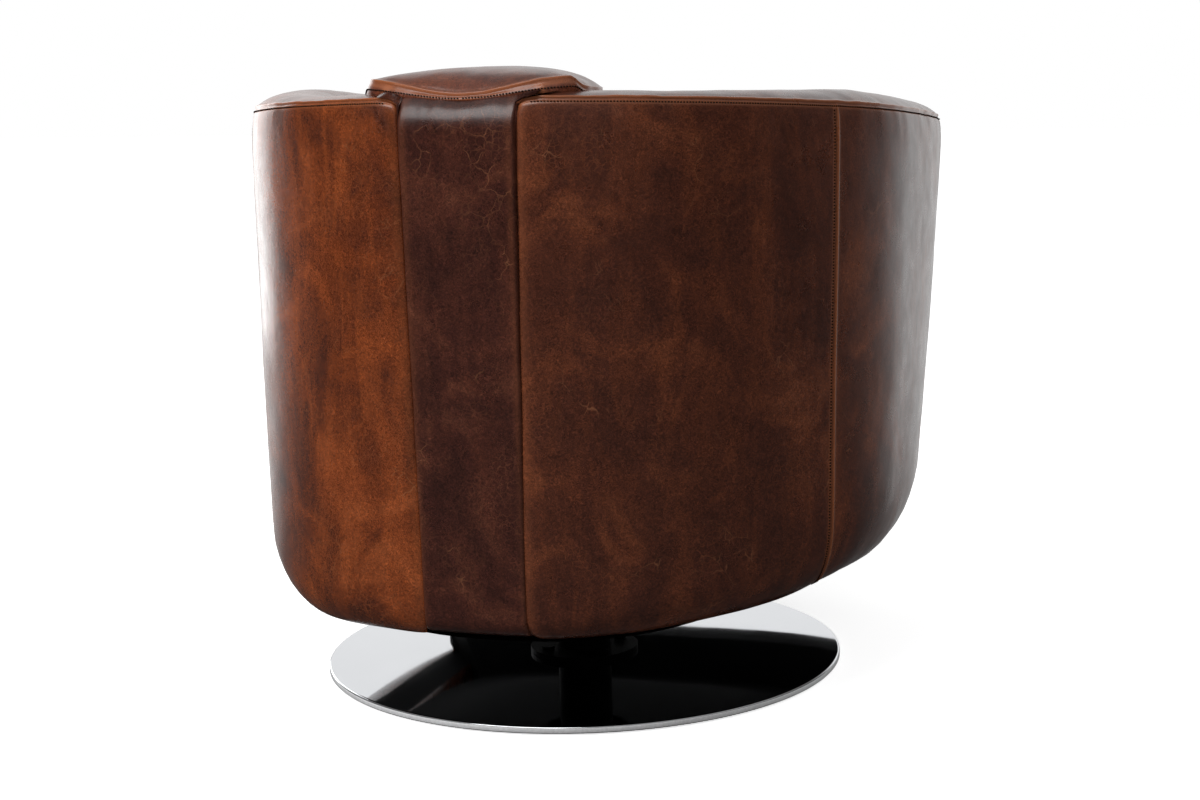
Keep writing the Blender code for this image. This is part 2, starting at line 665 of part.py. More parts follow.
def spine_body(name, inset, finish, cutter=False):
    rows = [(*row, 0.0) for row in SPINE_LEVELS]
    if cutter:
        level, shrink, dome = SPINE_LEVELS[0]
        rows = [(level, shrink + LIP_SHARE, dome, drop) for drop in (CUT_MARGIN + inset, 0.0)] + rows
    sections = []
    for level, shrink, dome, drop in rows:
        section = []
        for x, y in spine_outline(level, inset, shrink * (SPINE_DRAW - inset)):
            low = bottom_z(y) + SPINE_LIFT + inset - drop
            z = mix(low, spine_top(y) - SPINE_ROUND, level) + dome * SPINE_ROUND - inset * (dome > 0.0)
            section.append((x, y, z))
        sections.append(section)
    return loft(name, sections, finish, cutter=cutter)


def half_space(name, front):
    maker = bmesh.new()
    bmesh.ops.create_cube(maker, size=2.0)
    move = CLEARANCE - 1.0 if front else 1.0 - CLEARANCE
    bmesh.ops.translate(maker, verts=maker.verts, vec=(0.0, move, 0.0))
    bmesh.ops.rotate(maker, verts=maker.verts, cent=(0, 0, 0), matrix=Matrix.Rotation(-COVER_SPLIT_LEAN, 3, "X"))
    bmesh.ops.translate(maker, verts=maker.verts, vec=(0.0, COVER_SPLIT_TOP_Y, SPINE_TOP - SPINE_ROUND / 4))
    return add_object(name, maker, "leather", True)


post_low = rail_low - SEAT_TILT * (SPINE_POST_Y - SPINE_POST_DEPTH / 2) + CLEARANCE
post_front = SPINE_POST_Y - SPINE_POST_DEPTH / 2
post_back = SPINE_POST_Y + SPINE_POST_DEPTH / 2
post_inside = SPINE_POST_GAP / 2
post_outside = post_inside + SPINE_POST_WIDTH
foot_top = rail_high - SEAT_TILT * post_front - CLEARANCE
back_face = FRAME_BACK_Y + CLEARANCE
spine_room = spine_body("spine_cover_room", LEATHER, "foam", True)
post_room = block(
    "spine_post_room", (-post_outside - CLEARANCE, post_front - CLEARANCE, 0.0),
    (post_outside + CLEARANCE, post_back + CLEARANCE, SPINE_POST_TOP + CLEARANCE), "foam", cutter=True)
foot_room = block(
    "spine_foot_room", (-post_outside - CLEARANCE, FRAME_MIDDLE_Y, 0.0),
    (post_outside + CLEARANCE, post_front + CLEARANCE, foot_top + CLEARANCE), "foam", cutter=True)
for name, front in (("back_strip", True), ("backrest_cover", False)):
    cover = spine_body(name, 0.0, "leather")
    cut(cover, spine_room)
    cut(cover, half_space(name + "_limit", front))
    cut(cover, foot_room)
spine_pad = spine_body("spine_pad", pad_inset, "foam")
cut(spine_pad, post_room)
cut(spine_pad, foot_room)
for side, sign in (("left", 1), ("right", -1)):
    low_x, high_x = sorted((sign * post_inside, sign * post_outside))
    block(f"spine_post_{side}", (low_x, post_front, post_low), (high_x, post_back, SPINE_POST_TOP), "wood")
block("spine_top_rail", (-post_inside + CLEARANCE, post_front, SPINE_POST_TOP - SPINE_RAIL_HEIGHT),
      (post_inside - CLEARANCE, post_back, SPINE_POST_TOP), "wood")
block("spine_foot_block", (-post_outside, back_face, post_low), (post_outside, post_front - CLEARANCE, foot_top),
      "wood")

# Head cushion
HEAD_ROOT = ((0.0, 0.95), (0.3, 0.3), (0.94, 0.12))
HEAD_ROWS = ((0.0, 0.06), (0.3, 0.0), (0.62, 0.12), (0.84, 0.38), (0.96, 0.72), (1.0, 1.1))


def head_ledge(y):
    return top_z(y) + HEAD_STAND


head_sections = []
for level, draw in HEAD_ROOT:
    section = []
    for x, y in spine_outline(1.0, 0.0, draw * SPINE_DRAW):
        section.append((x, y, mix(spine_top(y) + CLEARANCE, head_ledge(y), level)))
    head_sections.append(section)
head_middle = (HEAD_BACK_Y + HEAD_FRONT_Y) / 2
for level, draw in HEAD_ROWS:
    section = []
    for spot in head_sections[0]:
        angle = math.atan2(spot[0], spot[1] - head_middle)
        half = HEAD_HALF_WIDTH - draw * HEAD_DRAW
        reach = (HEAD_BACK_Y - HEAD_FRONT_Y) / 2 - draw * HEAD_DRAW
        distance = oval(angle, half, reach, HEAD_POWER)
        x = distance * math.sin(angle)
        y = head_middle + distance * math.cos(angle)
        fall = HEAD_SIDE_FALL * (x / HEAD_HALF_WIDTH) ** 2
        section.append((x, y, mix(head_ledge(y), HEAD_TOP, level * (1 - fall))))
    head_sections.append(section)
loft("head_cushion", head_sections, "leather")

# Seat cushion
cloth_low = strap_high + CLEARANCE
cloth_high = cloth_low + CLOTH_THICKNESS
CUSHION_ROWS = (
    (0.0, 0.9, 0.0), (0.22, 0.25, 0.0), (0.5, 0.0, 0.0), (0.8, 0.25, 0.0), (1.0, 1.0, 0.0),
    (1.0, 2.6, 0.42), (1.0, 5.2, 0.74), (1.0, 9.0, 0.94), (1.0, 14.0, 1.0))
CUSHION_STEPS = 36


def cushion_body(name, inset, finish, cutter=False):
    low = cloth_high + CLEARANCE
    high = low + CUSHION_THICKNESS - inset
    rows = list(CUSHION_ROWS)
    if cutter:
        rows.insert(0, (-CUT_MARGIN / CUSHION_THICKNESS, rows[0][1], 0.0))
    sections = []
    for level, draw, crown in rows:
        section = []
        for step in range(CUSHION_STEPS):
            angle = step / CUSHION_STEPS * 2 * math.pi
            spot = frame_point(angle, draw * CUSHION_EDGE + inset, CUSHION_FRONT_Y)
            section.append((*spot, mix(low, high, level) + crown * CUSHION_CROWN))
        sections.append(section)
    return loft(name, sections, finish, tilt=True, cutter=cutter)


cushion_cover = cushion_body("cushion_cover", 0.0, "leather")
cut(cushion_cover, cushion_body("cushion_room", LEATHER, "foam", True))
cushion_body("cushion_core", LEATHER + CLEARANCE, "foam")
cloth_sections = []
for height in (cloth_low, cloth_high):
    cloth_sections.append([
        (*frame_point(step / CUSHION_STEPS * 2 * math.pi, CUSHION_EDGE, CUSHION_FRONT_Y), height)
        for step in range(CUSHION_STEPS)])
loft("cushion_base_cloth", cloth_sections, "cloth", tilt=True)

# Front apron
apron_high = rail_high
apron_low = rail_low - APRON_DROP


def apron_loop(angle, skin):
    inner = frame_point(angle, -CLEARANCE)
    ahead = FRAME_FRONT_Y - APRON_AHEAD
    bottom = frame_point(angle, -APRON_BOTTOM_DEPTH - skin, ahead)
    low_bend = frame_point(angle, -APRON_BOTTOM_DEPTH + APRON_ROUND / 2 - skin, ahead)
    top = frame_point(angle, -APRON_TOP_DEPTH - skin, ahead)
    high_bend = frame_point(angle, -APRON_TOP_DEPTH + APRON_ROUND - skin, ahead)
    middle = frame_point(angle, -(APRON_BOTTOM_DEPTH + APRON_TOP_DEPTH) / 2 - WALL_BULGE - skin, ahead)
    return [
        (*inner, apron_low - skin), (*low_bend, apron_low - skin), (*bottom, apron_low + APRON_ROUND),
        (*middle, (apron_low + apron_high) / 2), (*top, apron_high - APRON_ROUND),
        (*high_bend, apron_high + skin), (*inner, apron_high + skin)]


pad_sections = []
skin_sections = []
for angle in rail_angles(CORNER_ANGLE_FRONT, 2 * math.pi - CORNER_ANGLE_FRONT, FRONT_STEPS)[1:-1]:
    pad_sections.append(apron_loop(angle, 0.0))
    inside = apron_loop(angle, CLEARANCE)
    outside = apron_loop(angle, LEATHER)
    skin_sections.append(outside + inside[::-1])
loft("apron_pad", pad_sections, "foam", tilt=True)
loft("apron_cover", skin_sections, "leather", tilt=True)
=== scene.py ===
import math

import bmesh
import bpy
import numpy as np
from mathutils import Matrix, Vector, noise
from mathutils.bvhtree import BVHTree
from mathutils.kdtree import KDTree


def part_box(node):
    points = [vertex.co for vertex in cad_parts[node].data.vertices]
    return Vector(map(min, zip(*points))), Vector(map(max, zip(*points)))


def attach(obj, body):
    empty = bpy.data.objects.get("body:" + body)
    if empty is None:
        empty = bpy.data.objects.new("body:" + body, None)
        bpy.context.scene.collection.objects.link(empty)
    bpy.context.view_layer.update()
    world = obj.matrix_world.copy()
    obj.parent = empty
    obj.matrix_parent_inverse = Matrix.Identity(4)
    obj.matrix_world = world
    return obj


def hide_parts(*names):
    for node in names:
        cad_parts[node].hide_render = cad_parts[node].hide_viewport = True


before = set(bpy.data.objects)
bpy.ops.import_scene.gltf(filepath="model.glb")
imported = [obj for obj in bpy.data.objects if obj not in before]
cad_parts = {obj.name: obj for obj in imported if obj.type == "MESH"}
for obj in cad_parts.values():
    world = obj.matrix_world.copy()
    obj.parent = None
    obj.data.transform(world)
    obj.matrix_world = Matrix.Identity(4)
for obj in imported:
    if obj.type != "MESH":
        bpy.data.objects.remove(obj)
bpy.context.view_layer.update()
print("frame loaded with", len(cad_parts), "nodes")

scene = bpy.context.scene
scene.view_settings.view_transform = "Standard"

# Camera behind the chair, on the sitter's right
cameraSetup = {
    "place": (-0.9163, 2.6698, 0.8226),
    "heading": 198.37,
    "pitchDown": 10.17,
    "roll": -1.8,
    "lens": 72.0,
    "sensor": 36.0,
}


def addCamera():
    data = bpy.data.cameras.new("photoCamera")
    data.lens = cameraSetup["lens"]
    data.sensor_width = cameraSetup["sensor"]
    camera = bpy.data.objects.new("photoCamera", data)
    scene.collection.objects.link(camera)
    turn = Matrix.Rotation(math.radians(cameraSetup["heading"]), 4, "Z")
    turn = turn @ Matrix.Rotation(math.radians(90 - cameraSetup["pitchDown"]), 4, "X")
    turn = turn @ Matrix.Rotation(math.radians(cameraSetup["roll"]), 4, "Z")
    camera.matrix_world = Matrix.Translation(cameraSetup["place"]) @ turn
    scene.camera = camera


addCamera()
print("camera placed")


# Small helpers
def mix(low, high, share):
    return low + (high - low) * share


def smoothStep(low, high, value):
    share = min(1.0, max(0.0, (value - low) / (high - low)))
    return share * share * (3 - 2 * share)


def oval(angle, halfWidth, reach, power):
    across = (abs(math.sin(angle)) / halfWidth) ** power
    along = (abs(math.cos(angle)) / reach) ** power
    return (across + along) ** (-1.0 / power)


def quarterArc(steps):
    return [math.pi / 2 * step / steps for step in range(steps + 1)]


def withCluster(values, middle, offsets):
    near = [middle + offset for offset in offsets]
    kept = [value for value in values if value < near[0] or value > near[-1]]
    return sorted(kept + near)


def newObject(name, maker):
    mesh = bpy.data.meshes.new(name)
    maker.to_mesh(mesh)
    maker.free()
    made = bpy.data.objects.new(name, mesh)
    scene.collection.objects.link(made)
    return made


def addPiece(name, maker, material, body, nodes=()):
    piece = newObject(name, maker)
    for face in piece.data.polygons:
        face.use_smooth = True
    piece.data.materials.append(material)
    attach(piece, body)
    if nodes:
        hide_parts(*nodes)
    return piece


# A grid is laid over the points; wear is kept per point for the finish
def gridMaker(points, wear=None, mirror=False):
    countU, countV = points.shape[:2]
    maker = bmesh.new()
    bmesh.ops.create_grid(maker, x_segments=countU - 1, y_segments=countV - 1, size=0.5)
    wearLayer = maker.verts.layers.float.new("wear")
    for vert in maker.verts:
        u = round((vert.co.x + 0.5) * (countU - 1))
        v = round((vert.co.y + 0.5) * (countV - 1))
        vert.co = points[u, v]
        vert[wearLayer] = 0.0 if wear is None else float(wear[u, v])
    bmesh.ops.remove_doubles(maker, verts=maker.verts, dist=2e-5)
    bmesh.ops.dissolve_degenerate(maker, edges=maker.edges, dist=1e-6)
    if mirror:
        bmesh.ops.scale(maker, verts=maker.verts, vec=(-1.0, 1.0, 1.0))
    bmesh.ops.recalc_face_normals(maker, faces=maker.faces)
    if maker.calc_volume(signed=True) < 0:
        bmesh.ops.reverse_faces(maker, faces=maker.faces)
    return maker


# A stretched cloth, one layer of faces looking down
def addSheet(name, points, nodes):
    maker = gridMaker(points)
    if sum(face.normal.z * face.calc_area() for face in maker.faces) > 0:
        bmesh.ops.reverse_faces(maker, faces=maker.faces)
    area = sum(face.calc_area() for face in maker.faces)
    piece = addPiece(name, maker, clothFinish, "seat", nodes)


# Normals of a grid, turned so that the probed one points to the sign along the axis
def gridNormals(points, u, v, axis, sign=1):
    normals = np.cross(np.gradient(points, axis=0), np.gradient(points, axis=1))
    normals /= np.maximum(np.linalg.norm(normals, axis=2, keepdims=True), 1e-12)
    return normals if normals[u, v][axis] * sign > 0 else -normals


def runLength(points, axis, start):
    steps = np.linalg.norm(np.diff(points, axis=axis), axis=2)
    shape = list(points.shape[:2])
    shape[axis] = 1
    total = np.concatenate([np.zeros(shape), np.cumsum(steps, axis=axis)], axis=axis)
    return total - np.take(total, [start], axis=axis)


def noiseField(points, scale, seed):
    shift = Vector((seed * 3.17, seed * 1.71, seed * 2.43))
    field = np.zeros(points.shape[:2])
    for index in np.ndindex(*field.shape):
        field[index] = noise.noise(Vector(points[index]) * scale + shift)
    return field


# Broad waves and finer ripples of the leather
def ripples(points, build, seed, fineSeed):
    broad = build["waves"] * noiseField(points, build["waveScale"], seed)
    return broad + build["ripple"] * noiseField(points, build["rippleScale"], fineSeed)


def bell(distance, centre, width):
    return np.exp(-((distance - centre) / width) ** 2)


# A folded edge laid over the next panel, with a sunk row for the stitches
seamShape = {
    "fold": 0.0011, "foldAt": 0.0016, "foldWidth": 0.0018, "valley": 0.0014, "valleyAt": -0.001,
    "valleyWidth": 0.0012, "stitchRow": 0.0044, "rowDepth": 0.0006, "rowWidth": 0.0014, "proud": 0.0006,
    "wear": ((0.9, 0.0014, 0.0014), (0.25, 0.0, 0.006), (0.6, -0.0044, 0.002)),
}


def foldedSeam(distance):
    raised = seamShape["fold"] * bell(distance, seamShape["foldAt"], seamShape["foldWidth"])
    sunk = seamShape["valley"] * bell(distance, seamShape["valleyAt"], seamShape["valleyWidth"])
    channel = seamShape["rowDepth"] * bell(distance, -seamShape["stitchRow"], seamShape["rowWidth"])
    return raised - sunk - channel


def seamWear(distance):
    return np.clip(sum(share * bell(distance, at, width) for share, at, width in seamShape["wear"]), 0, 1)


seamOffsets = [-0.009, -0.0072, -0.006, -0.0052, -0.0044, -0.0034, -0.0024, -0.0016,
               -0.0008, 0.0, 0.0008, 0.0016, 0.0024, 0.0034, 0.005, 0.0075]

stitchShape = {"pitch": 0.0034, "length": 0.0024, "radius": 0.0009}


def pathCurve(name, path, closed):
    data = bpy.data.curves.new(name, "CURVE")
    data.dimensions = "3D"
    line = data.splines.new("POLY")
    line.points.add(len(path) - 1)
    for point, spot in zip(line.points, path):
        point.co = (*spot, 1.0)
    line.use_cyclic_u = closed
    guide = bpy.data.objects.new(name, data)
    scene.collection.objects.link(guide)
    return guide


def bakeMesh(piece, guide=None):
    bpy.context.view_layer.update()
    graph = bpy.context.evaluated_depsgraph_get()
    mesh = bpy.data.meshes.new_from_object(piece.evaluated_get(graph))
    bpy.data.objects.remove(piece, do_unlink=True)
    if guide is not None:
        bpy.data.objects.remove(guide, do_unlink=True)
    maker = bmesh.new()
    maker.from_mesh(mesh)
    bpy.data.meshes.remove(mesh)
    return maker


# One stitch, repeated along a path with Array and Curve
def stitchMaker(path):
    total = sum((Vector(b) - Vector(a)).length for a, b in zip(path, path[1:]))
    guide = pathCurve("stitchGuide", path, False)
    maker = bmesh.new()
    bmesh.ops.create_uvsphere(maker, u_segments=6, v_segments=4, radius=1.0)
    size = (stitchShape["length"] / 2, stitchShape["radius"], stitchShape["radius"])
    bmesh.ops.rotate(maker, verts=maker.verts, matrix=Matrix.Rotation(math.pi / 2, 3, "Y"))
    bmesh.ops.scale(maker, verts=maker.verts, vec=size)
    bmesh.ops.translate(maker, verts=maker.verts, vec=(stitchShape["pitch"] / 2, 0, 0))
    stitch = newObject("stitch", maker)
    repeat = stitch.modifiers.new("repeat", "ARRAY")
    repeat.use_relative_offset = False
    repeat.use_constant_offset = True
    repeat.constant_offset_displace = (stitchShape["pitch"], 0, 0)
    repeat.count = max(2, int(total / stitchShape["pitch"]))
    follow = stitch.modifiers.new("follow", "CURVE")
    follow.object = guide
    follow.deform_axis = "POS_X"
    return bakeMesh(stitch, guide)


# Several runs as one mesh
def joined(runs):
    whole = bmesh.new()
    for run in runs:
        mesh = bpy.data.meshes.new("run")
        run.to_mesh(mesh)
        run.free()
        whole.from_mesh(mesh)
        bpy.data.meshes.remove(mesh)
    return whole


def addStitches(name, paths):
    addPiece(name, joined(stitchMaker(path) for path in paths), threadFinish, "seat")


# Finishes
def newFinish(name):
    material = bpy.data.materials.new(name)
    material.use_nodes = True
    tree = material.node_tree
    shader = tree.nodes["Principled BSDF"]
    return material, tree, shader


# A socket takes a link, a colour or a number
def feed(tree, socket, value):
    if isinstance(value, bpy.types.NodeSocket):
        tree.links.new(value, socket)
    else:
        socket.default_value = (*value, 1.0) if socket.type == "RGBA" else value


def addNode(tree, kind, **values):
    node = tree.nodes.new(kind)
    for key, value in values.items():
        if key in node.inputs:
            feed(tree, node.inputs[key], value)
        else:
            setattr(node, key, value)
    return node


def wire(tree, shader, values):
    for key, value in values.items():
        feed(tree, shader.inputs[key], value)


def mapped(tree, vector, **values):
    return addNode(tree, "ShaderNodeMapping", Vector=vector, **values).outputs["Vector"]


def addRamp(tree, source, stops, smooth="LINEAR"):
    ramp = tree.nodes.new("ShaderNodeValToRGB")
    ramp.color_ramp.interpolation = smooth
    while len(ramp.color_ramp.elements) < len(stops):
        ramp.color_ramp.elements.new(0.5)
    for element, (place, colour) in zip(ramp.color_ramp.elements, stops):
        element.position = place
        element.color = colour if len(colour) == 4 else (*colour, 1.0)
    tree.links.new(source, ramp.inputs["Fac"])
    return ramp.outputs["Color"]


def grey(value):
    return (value, value, value)


def blendColour(tree, share, low, high, kind="MIX"):
    node = addNode(tree, "ShaderNodeMix", data_type="RGBA", blend_type=kind)
    for number, value in ((0, share), (6, low), (7, high)):
        feed(tree, node.inputs[number], value)
    return node.outputs[2]


def combine(tree, kind, first, second):
    node = addNode(tree, "ShaderNodeMath", operation=kind)
    feed(tree, node.inputs[0], first)
    feed(tree, node.inputs[1], second)
    return node.outputs[0]


# Waxed hide: clouded dye, rubbed patches, crackle, fine grain
hideGrain = {
    # scale, detail, roughness, distortion
    "clouds": (9.0, 8.0, 0.66, 0.7), "streaks": (26.0, 6.0, 0.66, 0.5), "rubbed": (9.0, 7.0, 0.7, 0.9),
    "fibre": (230.0, 9.0, 0.8, 2.4), "hairPatch": (11.0, 5.0, 0.6, 0.6), "veinPatch": (13.0, 5.0, 0.6, 0.8),
    "gloss": (28.0, 4.0, 0.55, 0.0), "swell": (40.0, 4.0, 0.5, 0.0),
    # scale, bend
    "hairs": (120.0, 0.012), "veins": (46.0, 0.03),
    # strength, distance
    "grainBump": (0.16, 0.0005), "creaseBump": (0.1, 0.0006), "swellBump": (0.1, 0.004),
    "streakStretch": (1.0, 1.0, 0.24), "edgeShare": 0.8,
    "shader": {"Specular IOR Level": 0.5, "Coat Weight": 0.2, "Coat Roughness": 0.2},
}


def leatherFinish(name, look):
    material, tree, shader = newFinish(name)
    place = addNode(tree, "ShaderNodeTexCoord").outputs["Object"]
    spot = mapped(tree, place, Location=look["shift"])
    streak = mapped(tree, spot, Scale=hideGrain["streakStretch"])

    def field(kind, vector=spot):
        scale, detail, roughness, distortion = hideGrain[kind]
        return addNode(tree, "ShaderNodeTexNoise", Vector=vector, Scale=scale, Detail=detail,
                       Roughness=roughness, Distortion=distortion).outputs["Fac"]

    def fade(source, low, high, top=1.0):
        return addRamp(tree, source, [(low, grey(0)), (high, grey(top))])

    def cracks(kind, reach):
        scale, bend = hideGrain[kind]
        wander = addNode(tree, "ShaderNodeTexNoise", Vector=spot, Scale=scale * 0.6, Detail=3.0)
        push = addNode(tree, "ShaderNodeVectorMath", operation="MULTIPLY_ADD")
        for socket, value in zip(push.inputs, (wander.outputs["Color"], (bend, bend, bend), spot)):
            feed(tree, socket, value)
        lines = addNode(tree, "ShaderNodeTexVoronoi", feature="DISTANCE_TO_EDGE", Vector=push.outputs[0],
                        Scale=scale)
        return addRamp(tree, lines.outputs["Distance"], [(0.0, grey(1)), (reach, grey(0))])

    def bump(kind, height, below=None, sunk=False):
        strength, distance = hideGrain[kind]
        node = addNode(tree, "ShaderNodeBump", Height=height, Strength=strength, Distance=distance,
                       invert=sunk)
        if below is not None:
            tree.links.new(below, node.inputs["Normal"])
        return node.outputs["Normal"]

    dye = addRamp(tree, field("clouds"), [(0.34, look["deep"]), (0.52, look["body"]), (0.7, look["rust"])])
    dye = blendColour(tree, fade(field("streaks", streak), 0.48, 0.74, look["streak"]), dye, look["rust"])
    rubbed = fade(field("rubbed"), 0.55, 0.74)
    colour = blendColour(tree, combine(tree, "MULTIPLY", rubbed, look["rub"]), dye, look["worn"])
    fibre = field("fibre")
    pores = addRamp(tree, fibre, [(0.38, grey(0.42)), (0.5, grey(0.94)), (0.62, grey(1.9))])
    colour = blendColour(tree, 1.0, colour, pores, "MULTIPLY")
    hairs = combine(tree, "MULTIPLY", cracks("hairs", 0.05), fade(field("hairPatch"), 0.47, 0.64, 0.55))
    veins = combine(tree, "MULTIPLY", cracks("veins", 0.03), fade(field("veinPatch"), 0.58, 0.7, 0.45))
    colour = blendColour(tree, hairs, colour, look["worn"])
    colour = blendColour(tree, veins, colour, look["pale"])
    edge = addNode(tree, "ShaderNodeAttribute", attribute_name="wear").outputs["Fac"]
    edge = combine(tree, "MULTIPLY", edge, hideGrain["edgeShare"])
    colour = blendColour(tree, edge, colour, look["edge"])
    smooth, dull = grey(look["smooth"] - 0.03), grey(look["smooth"] + 0.06)
    gloss = addRamp(tree, field("gloss"), [(0.3, smooth), (0.7, dull)])
    gloss = combine(tree, "ADD", gloss, combine(tree, "MULTIPLY", rubbed, 0.05))
    relief = bump("swellBump", field("swell"), bump("creaseBump", hairs, bump("grainBump", fibre), True))
    wire(tree, shader, {"Base Color": colour, "Roughness": gloss, "Normal": relief})
    wire(tree, shader, hideGrain["shader"])
    return material


darkHide = {
    "shift": (0.0, 0.0, 0.0), "deep": (0.044, 0.013, 0.0078), "body": (0.068, 0.0185, 0.0095),
    "rust": (0.132, 0.0345, 0.013), "worn": (0.19, 0.056, 0.0225), "pale": (0.34, 0.135, 0.062),
    "edge": (0.32, 0.1, 0.036), "streak": 0.75, "rub": 0.45, "smooth": 0.28,
}
# A lighter copy of the hide for the left arm, which faces the key lamp: partly the arm's own tan, partly
# painted light
tanLitHide = dict(darkHide, shift=(3.1, 1.7, 0.4), deep=(0.054, 0.014, 0.007), body=(0.125, 0.027, 0.0075),
               rust=(0.245, 0.055, 0.0135), worn=(0.26, 0.072, 0.024), pale=(0.34, 0.14, 0.06), rub=0.35,
               smooth=0.24)
wineHide = dict(darkHide, shift=(1.3, 4.2, 2.0), deep=(0.026, 0.0078, 0.0056), body=(0.042, 0.0118, 0.008),
                rust=(0.082, 0.023, 0.0125), worn=(0.15, 0.052, 0.026), rub=0.4)
capHide = dict(darkHide, shift=(2.4, 0.7, 1.1), deep=(0.06, 0.017, 0.0105), body=(0.105, 0.028, 0.014))
seatHide = dict(darkHide, shift=(5.3, 2.2, 7.0))

leatherRight = leatherFinish("leatherRight", darkHide)
# The left arm's finish is the lighter copy: its own tan partly, painted light partly
leatherLeftLit = leatherFinish("leatherLeftLit", tanLitHide)
leatherStrip = leatherFinish("leatherStrip", wineHide)
leatherCap = leatherFinish("leatherCap", capHide)
leatherSeat = leatherFinish("leatherSeat", seatHide)


def plainFinish(name, colours, scale, roughness, metallic=0.0, bump=0.2, stretch=(1, 1, 1), spread=0.08,
                shine=0.5):
    material, tree, shader = newFinish(name)
    place = addNode(tree, "ShaderNodeTexCoord").outputs["Object"]
    spot = mapped(tree, place, Scale=stretch)
    speck = addNode(tree, "ShaderNodeTexNoise", Vector=spot, Scale=scale, Detail=5.0).outputs["Fac"]
    tone = addRamp(tree, speck, [(0.35, colours[0]), (0.65, colours[1])])
    gloss = addRamp(tree, speck, [(0.3, grey(roughness - spread)), (0.7, grey(roughness + spread))])
    relief = addNode(tree, "ShaderNodeBump", Height=speck, Strength=bump, Distance=0.001)
    wire(tree, shader, {"Base Color": tone, "Roughness": gloss, "Normal": relief.outputs["Normal"],
                        "Metallic": metallic, "Specular IOR Level": shine})
    return material


threadFinish = plainFinish("thread", ((0.008, 0.004, 0.003), (0.02, 0.009, 0.006)), 900.0, 0.7, shine=0.2)
chromeFinish = plainFinish("chrome", ((0.7, 0.715, 0.74), (0.73, 0.745, 0.77)), 6.0, 0.045, 1.0, 0.0,
                           spread=0.015)
# Pale grey rim of the disc: partly a brushed edge, partly a painted reflection of the bright floor
rimPaintedSheenFinish = plainFinish("brushedRimPaintedSheen", ((0.78, 0.78, 0.79), (0.88, 0.88, 0.89)), 300.0, 0.5, 0.2, 0.0)
clothFinish = plainFinish("blackCloth", (grey(0.004), (0.01, 0.01, 0.011)), 1400.0, 0.88, bump=0.4,
                          shine=0.1)
woodFinish = plainFinish("frameWood", ((0.2, 0.115, 0.055), (0.36, 0.23, 0.12)), 30.0, 0.6,
                         stretch=(1, 1, 0.1))
plyFinish = plainFinish("plywood", ((0.42, 0.28, 0.15), (0.58, 0.42, 0.25)), 24.0, 0.6, stretch=(0.2, 1, 6))
webFinish = plainFinish("webbing", ((0.05, 0.038, 0.025), (0.12, 0.095, 0.065)), 700.0, 0.85,
                        stretch=(1, 0.2, 1))
steelFinish = plainFinish("steel", ((0.34, 0.34, 0.35), (0.46, 0.46, 0.47)), 260.0, 0.34, 1.0, 0.1,
                          (1, 0.15, 1))
blackFinish = plainFinish("blackSteel", (grey(0.0015), grey(0.003)), 420.0, 0.6, bump=0.15, shine=0.03)
nylonFinish = plainFinish("blackNylon", (grey(0.003), grey(0.006)), 300.0, 0.5, shine=0.1)
feltFinish = plainFinish("felt", ((0.02, 0.02, 0.021), (0.06, 0.06, 0.062)), 1200.0, 0.92, bump=0.5)
print("finishes made")

# Tub form, close to the solids; the slope, crown and noses follow the photo
tub = {
    "bottomAtBack": 0.115, "topAtBack": 0.698, "topSlope": 0.0985, "bottomSlope": 0.0,
    "backY": 0.364, "backPower": 2.03, "frontPower": 3.2,
    # at the bottom, at the top
    "half": (0.372, 0.391), "widestY": (-0.015, -0.085), "reach": (0.44, 0.52), "slot": (0.0525, 0.0625),
    "tipY": (-0.37, -0.41),
    "nose": 0.062, "noseRise": 0.034, "turnBack": 0.03, "turnSide": 0.115, "turnRun": 0.62,
    "turnShare": 0.6, "hem": 0.03, "domePower": 2.6, "domeRise": 0.9, "archRise": 0.8, "drawReach": 0.015,
    "cornerReach": 0.006,
    "corner": 0.009, "crownBack": 0.009, "crownStart": 0.16, "crownRate": 2.6, "crownSide": 0.022,
    "noseCrown": 0.75, "bulge": 0.002, "seamDraw": 0.0055, "armWidth": 0.11, "innerReach": 0.28,
    "innerMiddleY": -0.05, "innerEndShare": 0.52, "endRun": 0.03, "trim": 0.0,
}
innerHalf = tub["half"][0] - tub["armWidth"]
wallHeight = tub["topAtBack"] - tub["bottomAtBack"]


def bottomZ(y):
    return tub["bottomAtBack"] + tub["bottomSlope"] * (tub["backY"] - y)


def topZ(y):
    return tub["topAtBack"] - tub["topSlope"] * (tub["backY"] - y)


def outerPoint(run, level):
    half = mix(*tub["half"], level) - tub["trim"]
    middle = mix(*tub["widestY"], level)
    backReach = tub["backY"] - middle
    frontReach = mix(*tub["reach"], level)
    slot = mix(*tub["slot"], level)
    start = math.atan2(slot, backReach * (1 - (slot / half) ** tub["backPower"]) ** (1 / tub["backPower"]))
    tip = mix(*tub["tipY"], level) + tub["nose"] - middle
    side = half * (1 - (abs(tip) / frontReach) ** tub["frontPower"]) ** (1 / tub["frontPower"])
    angle = mix(start, math.atan2(side, tip), run)
    if math.cos(angle) > 0:
        distance = oval(angle, half, backReach, tub["backPower"])
    else:
        distance = oval(angle, half, frontReach, tub["frontPower"])
    return Vector((distance * math.sin(angle), middle + distance * math.cos(angle)))


def innerPoint(run, level):
    endX = tub["innerEndShare"] * innerHalf
    start = math.atan2(endX, tub["innerReach"] * math.sqrt(1 - (endX / innerHalf) ** 2))
    tip = mix(*tub["tipY"], level) + tub["nose"] - tub["innerMiddleY"]
    angle = mix(start, math.atan2(innerHalf, tip), run)
    if math.cos(angle) > 0:
        distance = oval(angle, innerHalf, tub["innerReach"], 2.0)
    else:
        distance = innerHalf / math.sin(angle)
    return Vector((distance * math.sin(angle), tub["innerMiddleY"] + distance * math.cos(angle)))


def armTurn(run):
    return mix(tub["turnBack"], tub["turnSide"], smoothStep(0.0, tub["turnRun"], run))


